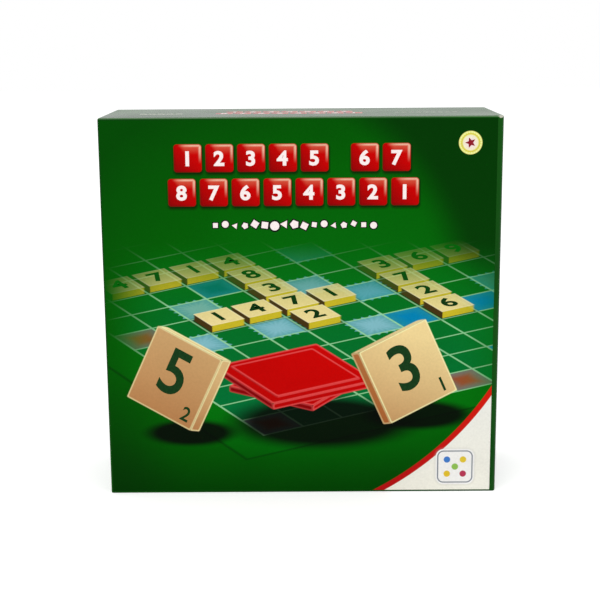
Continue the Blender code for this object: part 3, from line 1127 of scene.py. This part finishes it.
def make(
    bm: Shape,
    name: str,
    materials: Sequence[Material],
    body: Body,
    slot: Slot,
    smooth_angle: float = 40.0,
) -> Thing:
    """Turns a bmesh into a piece that rides on a body.

    Args:
        bm: The mesh, which is freed.
        name: The piece's name.
        materials: Its materials.
        body: The body that it rides on.
        slot: The record's slot. It is not used.
        smooth_angle: Edges sharper than this, in degrees, stay sharp.

    Returns:
        The piece.
    """
    for face in bm.faces:
        face.smooth = True
    for edge in bm.edges:
        edge.smooth = edge.is_manifold and edge.calc_face_angle(0.0) < math.radians(smooth_angle)
    piece = add(name, mesh_of(bm, name, materials))
    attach(piece, body.value)
    LOG.info("%s: %d faces, on %s", name, len(piece.data.polygons), body.value)
    return piece


def soft(bm: Shape, name: str, material: Material, slot: Slot, thickness: float) -> Thing:
    """Turns a sheet's mesh into a soft piece on the base.

    Args:
        bm: The mesh, which is freed.
        name: The piece's name.
        material: Its material.
        slot: The record's slot.
        thickness: How thick the sheet is.

    Returns:
        The piece.
    """
    bmesh.ops.recalc_face_normals(bm, faces=bm.faces)
    piece = make(bm, name, [material], Body.BASE, slot, 180.0)
    thick = piece.modifiers.new("thickness", "SOLIDIFY")
    thick.thickness, thick.offset = thickness, 0.0
    return piece


@dataclass
class FoldedTray:
    """A glued card tray with soft folds, flaps inside its corners and a recess for its print.

    Its folds are those to the left, right, bottom and top of its panel, which faces away from
    its mouth: opens is 1 where the mouth is at the back, and -1 where it is in front.
    """

    name: str
    low: Place
    high: Place
    opens: int
    folds: Tuple[float, float, float, float] = (0.0015, 0.0015, 0.0015, 0.0015)
    card: float = 0.0015
    depth_fold: float = 0.0012
    flap: float = 0.022
    flap_setback: float = 0.004
    flap_edge: float = 0.0004
    recess: float = 0.00015
    recess_room: float = 0.0003
    widest: float = 0.004

    def ends(self) -> Tuple[float, float]:
        """Returns where the outer face of the panel is, and where the mouth is."""
        return (self.low[1], self.high[1])[:: self.opens]

    def print_area(self) -> Tuple[float, float, float, float]:
        """Returns the recess's left, right, bottom and top."""
        left, right, bottom, top = (fold + self.recess_room for fold in self.folds)
        (x, _, z), (far_x, _, far_z) = self.low, self.high
        return x + left, far_x - right, z + bottom, far_z - top

    def shell(self, bm: Shape) -> None:
        """Adds the outer box, open at one end, and marks its folds for the bevel.

        Args:
            bm: The mesh.
        """
        block(bm, self.low, self.high)
        panel, mouth = self.ends()
        bmesh.ops.delete(bm, geom=[f for f in bm.faces if lies(f, 1, mouth)], context="FACES")
        weight = bm.edges.layers.float.new("bevel_weight_edge")
        (left, _, bottom), (right, _, top) = self.low, self.high
        sides = list(zip(self.folds, (0, 0, 2, 2), (left, right, bottom, top)))
        for edge in bm.edges:
            if not lies(edge, 1, edge.verts[0].co.y):
                edge[weight] = self.depth_fold / self.widest
            for fold, axis, level in sides:
                if lies(edge, 1, panel) and lies(edge, axis, level):
                    edge[weight] = fold / self.widest

    def sink_print(self, bm: Shape) -> None:
        """Cuts the print's rectangle out of the panel and sinks it by the print's thickness.

        Args:
            bm: The mesh.
        """
        panel, _ = self.ends()
        left, right, bottom, top = self.print_area()
        for level, normal in ((left, RIGHT), (right, RIGHT), (bottom, UP), (top, UP)):
            faces = [f for f in bm.faces if lies(f, 1, panel)]
            region = [*faces, *dict.fromkeys(e for f in faces for e in f.edges)]
            cut = {"plane_co": normal * level, "plane_no": normal}
            bmesh.ops.bisect_plane(bm, geom=region, dist=1e-7, **cut)
        inner = [f for f in bm.faces if lies(f, 1, panel) and lies(f, 0, left, right)]
        inner = [f for f in inner if lies(f, 2, bottom, top)]
        grown = bmesh.ops.extrude_face_region(bm, geom=inner)
        bmesh.ops.delete(bm, geom=inner, context="FACES")
        pull(bm, grown, (0, self.opens * self.recess, 0))

    def lining(self, bm: Shape) -> None:
        """Adds the inner walls and the cut rim, as one box with a sharp inside.

        Args:
            bm: The mesh.
        """
        inset = Vector((self.card, 0, self.card))
        low, high = Vector(self.low) + inset, Vector(self.high) - inset
        panel = low if self.opens > 0 else high
        panel.y += self.opens * self.card
        outer, rim = set(bm.faces), [e for e in bm.edges if e.is_boundary]
        block(bm, low, high)
        mouth = [f for f in bm.faces if f not in outer and lies(f, 1, self.ends()[1])]
        bmesh.ops.delete(bm, geom=mouth, context="FACES")
        inner = [f for f in bm.faces if f not in outer]
        bmesh.ops.reverse_faces(bm, faces=inner)
        rim += [e for e in bm.edges if e.is_boundary and e not in rim]
        for face in [*inner, *bmesh.ops.bridge_loops(bm, edges=rim)["faces"]]:
            face.material_index = 1

    def flaps(self, bm: Shape) -> None:
        """Adds the four glue flaps inside the left and right walls.

        Args:
            bm: The mesh.
        """
        card = self.card
        front, back = (card, self.flap_setback)[:: self.opens]
        for side in (-1, 1):
            wall = (self.high[0] if side > 0 else -self.low[0]) - card
            left, right = sorted((side * wall, side * (wall - card)))
            for end in (-1, 1):
                near = self.high[2] - card if end > 0 else self.low[2] + card
                far = near - end * self.flap
                low = (left, self.low[1] + front, min(near, far))
                verts = block(bm, low, (right, self.high[1] - back, max(near, far)))
                for face in {f for v in verts for f in v.link_faces}:
                    face.material_index = 1
                free = [e for v in verts for e in v.link_edges if lies(e, 2, far)]
                round_off(bm, free, self.flap_edge, 2)

    def build(self, materials: Sequence[Material], body: Body, slot: Slot) -> Thing:
        """Builds the tray.

        Args:
            materials: The print's material and the raw card's.
            body: The body that it rides on.
            slot: The record's slot.

        Returns:
            The piece.
        """
        bm = bmesh.new()
        for step in (self.shell, self.sink_print, self.lining, self.flaps):
            step(bm)
        piece = make(bm, self.name, materials, body, slot)
        bevel = piece.modifiers.new("folds", "BEVEL")
        bevel.width, bevel.segments, bevel.profile = self.widest, 6, PLAIN_PROFILE
        bevel.limit_method, bevel.use_clamp_overlap = "WEIGHT", False
        return piece

    def print_sheet(self, name: str, material: Material, body: Body, slot: Slot, behind: float) -> None:
        """Builds the printed sheet that fills the recess.

        Args:
            name: The piece's name.
            material: The print.
            body: The body that it rides on.
            slot: The record's slot.
            behind: How far its face stays behind the panel's.
        """
        left, right, bottom, top = self.print_area()
        near, far = sorted(self.ends()[0] + self.opens * depth for depth in (behind, self.recess))
        bm = bmesh.new()
        block(bm, (left, near, bottom), (right, far, top))
        make(bm, name, [material], body, slot)


@dataclass
class Marks:
    """Flat printed marks that lie on the lid's front and walls."""

    front_y: float
    wall: float
    top: float
    step: float = 0.00003
    drawn: Dict[Tuple[str, float, float], bpy.types.Mesh] = field(default_factory=dict)

    def glyph(self, text: str, height: float, weight: float) -> bpy.types.Mesh:
        """Draws a plain numeral, once for each size.

        Args:
            text: The numeral.
            height: Its height.
            weight: How far its outline is grown.

        Returns:
            A flat mesh round its middle, in the x-y plane.
        """
        key = (text, height, weight)
        if key not in self.drawn:
            curve = bpy.data.curves.new("numeral", "FONT")
            curve.body, curve.size, curve.offset = key
            curve.align_x = curve.align_y = "CENTER"
            curve.resolution_u = 6
            holder = add("numeral", curve)
            bpy.context.view_layer.update()
            self.drawn[key] = bpy.data.meshes.new_from_object(holder)
            bpy.data.objects.remove(holder)
            bpy.data.curves.remove(curve)
        return self.drawn[key]

    def write(
        self, bm: Shape, glyph: Tuple[str, float, float], place: Callable[[float, float], Any]
    ) -> None:
        """Adds a numeral to the marks.

        Args:
            bm: The marks so far.
            glyph: The numeral, its height and its weight.
            place: Gives the place of a point of the numeral, from its x and its y.
        """
        before = set(bm.verts)
        bm.from_mesh(self.glyph(*glyph))
        for vert in set(bm.verts) - before:
            vert.co = place(vert.co.x, vert.co.y)

    def printed(self, eye: Eye, point: Sequence[float]) -> Vector:
        """Returns where a point of the printed scene shows on the front."""
        across, up = eye.spot(point)
        return Vector((across * MM, self.front_y, up * MM))

    def thicken(self, bm: Shape, layer: int, out: Vector = -BACK) -> None:
        """Gives the flat marks their thickness, towards the outside.

        Args:
            bm: The marks.
            layer: How many layers lie under them.
            out: The direction that the marks face.
        """
        bmesh.ops.remove_doubles(bm, verts=bm.verts, dist=CLOSE)
        bmesh.ops.dissolve_limit(bm, angle_limit=0.01, verts=bm.verts, edges=bm.edges)
        flat = list(bm.faces)
        for face in flat:
            face.normal_update()
            if face.normal.dot(out) < 0:
                face.normal_flip()
        grown = bmesh.ops.extrude_face_region(bm, geom=flat, use_keep_orig=True)
        pull(bm, grown, out * (self.step * (layer + 1)))
        bmesh.ops.reverse_faces(bm, faces=flat)

    def join(self, bm: Shape, part: Shape, material: int = 0) -> None:
        """Adds a part to a mesh, and frees it.

        Args:
            bm: The mesh.
            part: The part.
            material: The part's material index.
        """
        for face in part.faces:
            face.material_index = material
        mesh = mesh_of(part, "part")
        bm.from_mesh(mesh)
        bpy.data.meshes.remove(mesh)

    def finish(self, bm: Shape, name: str, material: Material) -> None:
        """Thickens marks that lie on the front, and makes them a piece on the lid."""
        self.thicken(bm, 0)
        make(bm, name, [material], Body.LID, Slot.LID)

    def title(self, rows: Sequence[TitleRow], material: Material) -> None:
        """Builds the white numerals on the title tiles.

        Args:
            rows: The rows of tiles.
            material: The ink.
        """
        bm = bmesh.new()
        for row, digits in zip(rows, ("12345", "67", "87654321")):
            for (across, up), digit in zip(row.centres(), digits):
                left, low = (across - 0.3) * MM, (up - 0.8) * MM
                glyph = (digit, 13.2 * MM, 0.50 * MM)
                self.write(bm, glyph, lambda x, y: (x * 1.06 + left, self.front_y, y + low))
        self.finish(bm, "title_numerals", material)

    def wall_title(self, rows: Sequence[TitleRow], material: Material, middle: float) -> None:
        """Builds the numerals on the small tiles of the upper and the side walls.

        Args:
            rows: The walls' rows of tiles.
            material: The ink.
            middle: The middle height of the side walls.
        """
        bm = bmesh.new()
        sides = (
            (UP * self.top, RIGHT, UP),
            (Vector((self.wall, 0, middle)), -UP, RIGHT),
            (Vector((-self.wall, 0, middle)), UP, -RIGHT),
        )
        for origin, along, out in sides:
            part = bmesh.new()
            for row, digits in zip(rows, ("1234567", "87654321")):
                for (across, depth), digit in zip(row.centres(), digits):
                    wide, deep = across * MM, depth * MM
                    glyph = (digit, 9.4 * MM, 0.36 * MM)
                    self.write(part, glyph, lambda x, y: origin + along * (wide + x) + BACK * (deep + y))
            self.thicken(part, 0, out)
            self.join(bm, part)
        make(bm, "wall_numerals", [material], Body.LID, Slot.LID)

    def tile_marks(self, front: FrontPrint, material: Material) -> None:
        """Builds the dark numerals on the printed board's tiles, in perspective.

        Args:
            front: The printed front.
            material: The ink.
        """
        bm = bmesh.new()
        places = set()
        for low_s, low_t, high_s, high_t in front.runs:
            for column in range(low_s, high_s):
                places.update((column, row) for row in range(low_t, high_t))
        for column, row in sorted(places):
            glyph = (str((3 * column + 5 * row) % 9 + 1), 0.74, 0.022)
            self.write(bm, glyph, lambda x, y: self.printed(
                front.eye, (column + 0.5 + x, row + 0.5 + y, front.tile_rise)
            ))
        self.finish(bm, "printed_tile_numerals", material)

    def block_marks(self, front: FrontPrint, material: Material) -> None:
        """Builds the numerals on the large printed tiles, in perspective.

        Args:
            front: The printed front.
            material: The ink.
        """
        bm = bmesh.new()
        for held in front.blocks():
            wide, _, high = held.size
            for text, size, (across, up) in held.numerals:
                self.write(bm, (text, size, 0.016 * size), lambda x, y: self.printed(
                    front.eye, held.point((across + 2 * x / wide, -1.0, up + 2 * y / high))
                ))
        self.finish(bm, "large_tile_numerals", material)

    def on_front(self, across: float, up: float, turn: float = 0.0) -> Matrix:
        """Returns the matrix that lays a flat shape on the front, turned by an angle."""
        flat = Matrix.Rotation(math.pi / 2, 4, "X") @ Matrix.Rotation(turn, 4, "Z")
        return Matrix.Translation((across * MM, self.front_y, up * MM)) @ flat

    def ornaments(self, black: Material, white: Material) -> None:
        """Builds the row of small white shapes under the title, on black.

        Args:
            black: The ink under the shapes.
            white: The shapes' ink.
        """
        bm = bmesh.new()
        count, first, last, middle = 17, -58.0, 48.5, 189.8
        for layer, grow in ((0, 1.36), (1, 1.0)):
            part = bmesh.new()
            for number in range(count):
                across = first + (last - first) * number / (count - 1)
                up = middle + 0.7 * math.sin(number * 1.9)
                radius = (3.1 if 3 < number < 10 else 2.3) * grow * MM
                corners = (4, 20, 3, 5, 4)[number % 5]
                turn = math.radians((45, 0, 90, 90, 10)[number % 5] + 9 * math.sin(number * 2.3))
                matrix = self.on_front(across, up, turn)
                circle = {"segments": corners, "radius": radius, "matrix": matrix}
                bmesh.ops.create_circle(part, cap_ends=True, **circle)
            self.thicken(part, layer)
            self.join(bm, part, layer)
        make(bm, "title_ornaments", [black, white], Body.LID, Slot.LID)

    def star(self, middle: Spot, material: Material) -> None:
        """Builds the dark red star in the yellow ring.

        Args:
            middle: Its place.
            material: The ink.
        """
        bm = bmesh.new()
        flat = self.on_front(*middle)
        centre = flat.translation
        circle = {"segments": 10, "radius": 3.7 * MM, "matrix": flat}
        verts = bmesh.ops.create_circle(bm, cap_ends=True, **circle)["verts"]
        ring = sorted(verts, key=lambda v: math.atan2(v.co.z - centre.z, v.co.x - centre.x))
        about = Matrix.Translation(-centre)
        bmesh.ops.scale(bm, verts=ring[::2], vec=(0.45, 1, 0.45), space=about)
        turn = Matrix.Rotation(math.radians(-18), 3, "Y")
        bmesh.ops.rotate(bm, verts=ring, cent=centre, matrix=turn)
        self.finish(bm, "badge_star", material)


@dataclass
class LetterTiles:
    """The tiles in their cells: nine in each stack, and the top one with its numerals."""

    side: float = 0.027
    thickness: float = 0.0050
    corner: float = 0.0022
    edge: float = 0.0006
    count: int = 10
    below: int = 9
    sway: float = 0.00025

    def tile(self, bm: Shape, low: Vector) -> None:
        """Adds a rounded tile.

        Args:
            bm: The mesh.
            low: The left, front and bottom of its space.
        """
        others = set(bm.faces)
        verts = block(bm, low, low + Vector((self.side, self.thickness, self.side)))
        edges = [e for v in verts for e in v.link_edges]
        upright = [e for e in edges if not lies(e, 1, e.verts[0].co.y)]
        round_off(bm, upright, self.corner, 4)
        new = [f for f in bm.faces if f not in others]
        ends = [f for f in new if abs(f.normal.y) > 0.9 or len(f.verts) > 4]
        round_off(bm, (e for f in ends for e in f.edges), self.edge, 2)

    def stack(self, number: int, material: Material) -> None:
        """Builds the nine lower tiles of a stack, each a little out of line.

        Args:
            number: The stack's number.
            material: The tiles' plastic.
        """
        node = f"tile_stack_{number:02d}"
        low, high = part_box(node)
        pitch = (high.y - low.y - self.thickness) / (self.below - 1)
        bm = bmesh.new()
        for layer in range(self.below):
            across = self.sway * math.sin(2.7 * layer + number)
            up = self.sway * math.cos(1.9 * layer + 2 * number)
            self.tile(bm, low + Vector((across, layer * pitch, up)))
        name = f"stacked_tiles_{number:02d}"
        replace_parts(make(bm, name, [material], Body.BASE, Slot.TILE), node)

    def top(self, number: int, materials: Sequence[Material], marks: Marks) -> None:
        """Builds the top tile of a stack with its two numerals.

        Args:
            number: The stack's number.
            materials: The tile's plastic and the numerals' ink.
            marks: What makes numerals.
        """
        node = f"letter_tile_{number:02d}"
        low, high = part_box(node)
        middle = (low + high) / 2
        bm, plain = bmesh.new(), bmesh.new()
        self.tile(bm, low)
        for text, size, weight, across, up in (
            (str(number), 0.017, 0.0005, 0.0, 0.0012),
            (str((number * 7) % 10 + 1), 0.0055, 0.00012, 0.0085, -0.0092),
        ):
            marks.write(plain, (text, size, weight), lambda x, y: (
                middle.x + x + across, low.y + 0.00001, middle.z + y + up
            ))
        marks.thicken(plain, 1)
        marks.join(bm, plain, 1)
        name = f"top_tile_{number:02d}"
        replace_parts(make(bm, name, materials, Body.BASE, Slot.TILE), node)

    def build(self, materials: Sequence[Material], marks: Marks) -> None:
        """Builds all stacks and top tiles.

        Args:
            materials: The tile's plastic and the numerals' ink.
            marks: What makes numerals.
        """
        for number in range(1, self.count + 1):
            self.stack(number, materials[0])
            self.top(number, materials, marks)


@dataclass
class TileRacks:
    """The moulded racks, each with a ledge, a groove and a leaning back."""

    count: int = 4
    edge: float = 0.0009
    profile: Tuple[Spot, ...] = (
        (0.00, 0.00), (1.00, 0.00), (1.00, 0.42), (0.88, 0.46),
        (0.80, 0.24), (0.34, 0.34), (0.16, 1.00), (0.00, 1.00),
    )

    def build(self, material: Material) -> None:
        """Builds the racks in their CAD places.

        Args:
            material: The racks' plastic.
        """
        for number in range(1, self.count + 1):
            low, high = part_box(f"tile_rack_{number}")
            span = high - low
            bm = bmesh.new()
            outline = [(low.x, high.y - up * span.y, low.z + out * span.z) for out, up in self.profile]
            end = bm.faces.new([bm.verts.new(place) for place in outline])
            grown = bmesh.ops.extrude_face_region(bm, geom=[end])
            pull(bm, grown, (span.x, 0, 0))
            bmesh.ops.recalc_face_normals(bm, faces=bm.faces)
            round_off(bm, bm.edges, self.edge, 3)
            rack = make(bm, f"moulded_rack_{number}", [material], Body.BASE, Slot.RACK)
            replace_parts(rack, f"tile_rack_{number}")


@dataclass
class ClothBag:
    """The flat cloth bag, folded in and out to lie in its compartment."""

    layers: int = 8
    cloth: float = 0.0011
    width_steps: int = 44
    turn_steps: int = 6
    run_steps: int = 14

    def path(self, low: Vector, high: Vector) -> List[Spot]:
        """Draws the fold line from the back of the compartment to its front.

        Args:
            low: The compartment's lowest corner.
            high: Its highest corner.

        Returns:
            The line's (y, z) places.
        """
        inset = self.cloth
        pitch = (high.y - low.y - 2 * inset) / (self.layers - 0.4)
        turn = pitch / 2
        points = []
        for layer in range(self.layers):
            y = high.y - inset - layer * pitch
            side = -1 if layer % 2 else 1
            start, stop = (low.z + turn + inset, high.z - turn - inset)[::side]
            for step in range(self.run_steps):
                points.append((y, start + (stop - start) * step / self.run_steps))
            for step in range(self.turn_steps if layer < self.layers - 1 else 0):
                angle = math.pi * step / self.turn_steps
                out, up = turn * math.cos(angle), turn * math.sin(angle)
                points.append((y - turn + out, stop + side * up))
        return points

    def crumple(self, bm: Shape, low: Vector, high: Vector) -> None:
        """Gives the cloth its waves, and keeps it in its compartment.

        Args:
            bm: The cloth.
            low: The compartment's lowest corner.
            high: Its highest corner.
        """
        for vert in bm.verts:
            at = vert.co
            share = (at.x - low.x) / (high.x - low.x)
            sway = noise.noise(Vector((at.x * 38, at.z * 30, 1.7))) * 0.0022
            ripple = noise.noise(Vector((at.x * 95, at.y * 60, at.z * 70))) * 0.0007
            edge = 1 - min(1.0, min(share, 1 - share) * 9)
            depth = (high.y - at.y) / (high.y - low.y)
            at.y += (sway + ripple) * (0.3 + 0.7 * depth) + 0.0035 * edge * edge * depth
            at.z += noise.noise(Vector((at.x * 50, at.y * 120, 4.0))) * 0.0011
            at.y = min(max(at.y, low.y + self.cloth), high.y - self.cloth / 2)
            at.z = min(max(at.z, low.z + self.cloth / 2), high.z - self.cloth / 2)

    def build(self, material: Material) -> None:
        """Builds the bag in its CAD place.

        Args:
            material: The bag's cloth.
        """
        low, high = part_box("tile_bag")
        line = self.path(low, high)
        long = sum((Vector(b) - Vector(a)).length for a, b in zip(line, line[1:]))
        width = high.x - low.x - 2 * self.cloth
        bm = bmesh.new()
        uv = bm.loops.layers.uv.new("cloth")
        sweep(bm, line, low.x + self.cloth, high.x - self.cloth, self.width_steps)
        self.crumple(bm, low, high)
        bm.verts.index_update()
        for loop in (loop for face in bm.faces for loop in face.loops):
            column, row = divmod(loop.vert.index, len(line))
            loop[uv].uv = (column / self.width_steps * width, row / len(line) * long)
        bag = soft(bm, "folded_bag", material, Slot.BAG, self.cloth)
        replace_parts(bag, "tile_bag")


@dataclass
class RulesLeaflet:
    """The rules: one sheet of paper, folded once, its free leaf lifting a little."""

    paper: float = 0.00025
    radius: float = 0.00045
    lift: float = 0.0030
    steps: int = 16
    across: int = 12

    def build(self, material: Material) -> None:
        """Builds the leaflet in its CAD place.

        Args:
            material: The printed paper.
        """
        low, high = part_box("rules_leaflet")
        radius, back = self.radius, high.y - self.paper / 2
        run = high.z - low.z - radius
        shares = [step / self.steps for step in range(self.steps + 1)]
        line = [(back, high.z - run * share) for share in shares]
        for angle in (math.pi * step / 6 for step in range(1, 6)):
            bend = radius * math.cos(angle), radius * math.sin(angle)
            line.append((back - radius + bend[0], low.z + radius - bend[1]))
        for share in shares:
            front = back - 2 * radius - self.lift * share**2.2
            line.append((front, low.z + radius + run * share * 0.998))
        bm = bmesh.new()
        sweep(bm, line, low.x, high.x, self.across)
        leaflet = soft(bm, "folded_rules", material, Slot.RULES, self.paper)
        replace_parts(leaflet, "rules_leaflet")


@dataclass
class Studio:
    """The pale floor, the soft light and the camera at the photograph's angle."""

    eye: Place = (0.001793, -0.90593, 0.318997)
    right: Place = (0.999974, 0.002265, -0.006894)
    forward: Place = (-0.003637, 0.978533, -0.206059)
    up: Place = (0.00628, 0.206079, 0.978515)
    lens: float = 77.294556
    aim: Place = (0.0, 0.0, 0.13)
    room_light: float = 0.80
    floor_light: float = 0.42
    floor_half: float = 6.0
    lamp_side: float = 1.4

    def camera(self) -> None:
        """Adds the camera."""
        data = bpy.data.cameras.new("photo_view")
        data.lens, data.clip_start, data.clip_end = self.lens, 0.05, 50.0
        camera = add("photo_view", data)
        rows = Matrix((self.right, self.up, [-part for part in self.forward])).transposed()
        camera.matrix_world = Matrix.Translation(self.eye) @ rows.to_4x4()
        bpy.context.scene.camera = camera

    def lamp(self, name: str, place: Place, power: float) -> None:
        """Adds a square area lamp that points at the box.

        Args:
            name: Its name.
            place: Its place.
            power: Its power in watts.
        """
        data = bpy.data.lights.new(name, "AREA")
        data.size, data.energy = self.lamp_side, power
        turn = (Vector(self.aim) - Vector(place)).to_track_quat("-Z", "Y").to_matrix()
        add(name, data).matrix_world = Matrix.Translation(place) @ turn.to_4x4()

    def world(self) -> None:
        """Lights the room evenly, and shows white where the camera or a reflection looks past."""
        graph = Graph("studio", world=True)
        soft_white = (self.room_light, self.room_light, self.room_light, 1.0)
        graph.set_shader(Color=graph.mix(graph.seen(), soft_white, (255, 255, 255)), Strength=1.0)
        bpy.context.scene.world = graph.owner

    def floor(self) -> None:
        """Adds the floor, whose own light reaches the camera and reflections only."""
        graph = Graph("studio_floor")
        own = (self.floor_light, self.floor_light, self.floor_light, 1.0)
        graph.set_shader(
            Emission_Color=graph.mix(graph.seen(), (0, 0, 0), own),
            Emission_Strength=1.0,
            Base_Color=ink(244, 244, 244),
            Roughness=0.9,
            Specular_IOR_Level=0.0,
        )
        bm = bmesh.new()
        bmesh.ops.create_grid(bm, x_segments=1, y_segments=1, size=self.floor_half)
        add("studio_floor", mesh_of(bm, "studio_floor", [graph.owner]))

    def build(self) -> None:
        """Sets up the whole studio."""
        self.camera()
        self.world()
        self.floor()
        self.lamp("key_light", (-0.9, -1.6, 1.5), 9.0)
        self.lamp("fill_light", (1.3, -1.0, 1.0), 3.5)
        bpy.context.scene.view_settings.view_transform = "Standard"


@dataclass
class CarriedOver:
    """The CAD nodes that keep their meshes and get materials."""

    nodes: Dict[str, Thing]

    def dress(self, starts: Tuple[str, ...], material: Material) -> None:
        """Gives CAD nodes a material.

        Args:
            starts: The starts of the nodes' names.
            material: The material.
        """
        for name, node in self.nodes.items():
            if name.startswith(starts):
                node.data.materials.clear()
                node.data.materials.append(material)
                LOG.info("%s: keeps its CAD mesh", name)


def main() -> None:
    """Builds every piece in order."""
    logging.basicConfig(level=logging.INFO, format="%(message)s")
    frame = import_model()
    Studio().build()

    inner_card = RawCard("raw_card_inside", (206, 202, 190), (184, 178, 164)).material()
    white_card = RawCard("insert_card", (232, 228, 218), (214, 208, 194)).material()
    front = FrontPrint()
    ease = 0.00004
    low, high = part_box("lid")
    lid_low, lid_high = (low.x + ease, low.y, low.z), (high.x - ease, high.y, high.z - ease)
    lid = FoldedTray("lid_card_tray", lid_low, lid_high, 1, (0.0009, 0.0040, 0.0010, 0.0012))
    wall_rows = (TitleRow(-46.5, 6.5, 12.8, 7, 5.9, 1.3), TitleRow(-53.0, -8.5, 12.8, 8, 5.9, 1.3))
    wall_print = WallPrint("lid_wall_print", lid_low, lid_high, wall_rows).material()
    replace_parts(lid.build([wall_print, inner_card], Body.LID, Slot.LID), "lid")
    lid.print_sheet("lid_front_print", front.material(), Body.LID, Slot.LID, 0.0001)
    base_low, base_high = (tuple(corner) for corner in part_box("base"))
    base = FoldedTray("base_card_tray", base_low, base_high, -1)
    base_print = WallPrint("base_wall_print", base_low, base_high).material()
    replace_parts(base.build([base_print, inner_card], Body.BASE, Slot.BASE), "base")
    base.print_sheet("base_back_print", BackPrint().material(), Body.BASE, Slot.BASE, 0.00005)

    marks = Marks(low.y + 0.0001, lid_high[0], lid_high[2])
    white = FlatInk("white_ink", (255, 244, 242), (246, 222, 222)).material()
    marks.title(front.rows, white)
    marks.wall_title(wall_rows, white, (low.z + high.z) / 2)
    marks.tile_marks(front, front.numeral_ink())
    marks.block_marks(front, FlatInk("deep_green_ink", (14, 52, 20), (30, 76, 30)).material())
    marks.ornaments(FlatInk("black_ink", (8, 20, 8), (16, 34, 14)).material(), white)
    marks.star(front.badge_spot, FlatInk("star_ink", (140, 20, 34), (160, 44, 54)).material())

    cad = CarriedOver(frame["nodes"])
    board_paper = Weave("board_back_paper", (14, 62, 30), (6, 36, 18), 0.45, height=0.00008)
    cad.dress(("board_leaf",), board_paper.material())
    cad.dress(("board_hinge",), Weave("hinge_cloth", (12, 34, 20), (4, 16, 10), 0.6).material())
    cad.dress(("insert_", "cell_"), white_card)

    ivory = MouldedPlastic("tile_plastic", (238, 218, 166), (226, 200, 140), 0.34, 0.12)
    numeral = FlatInk("numeral_ink", (24, 40, 22), (34, 56, 30))
    LetterTiles().build([ivory.material(), numeral.material()], marks)
    TileRacks().build(MouldedPlastic("rack_plastic", (196, 14, 12), (164, 6, 10), 0.26).material())
    ClothBag().build(Weave("bag_cloth", (34, 112, 52), (14, 70, 28), 400.0, True).material())
    RulesLeaflet().build(RulesPaper().material())


if __name__ == "__main__":
    main()
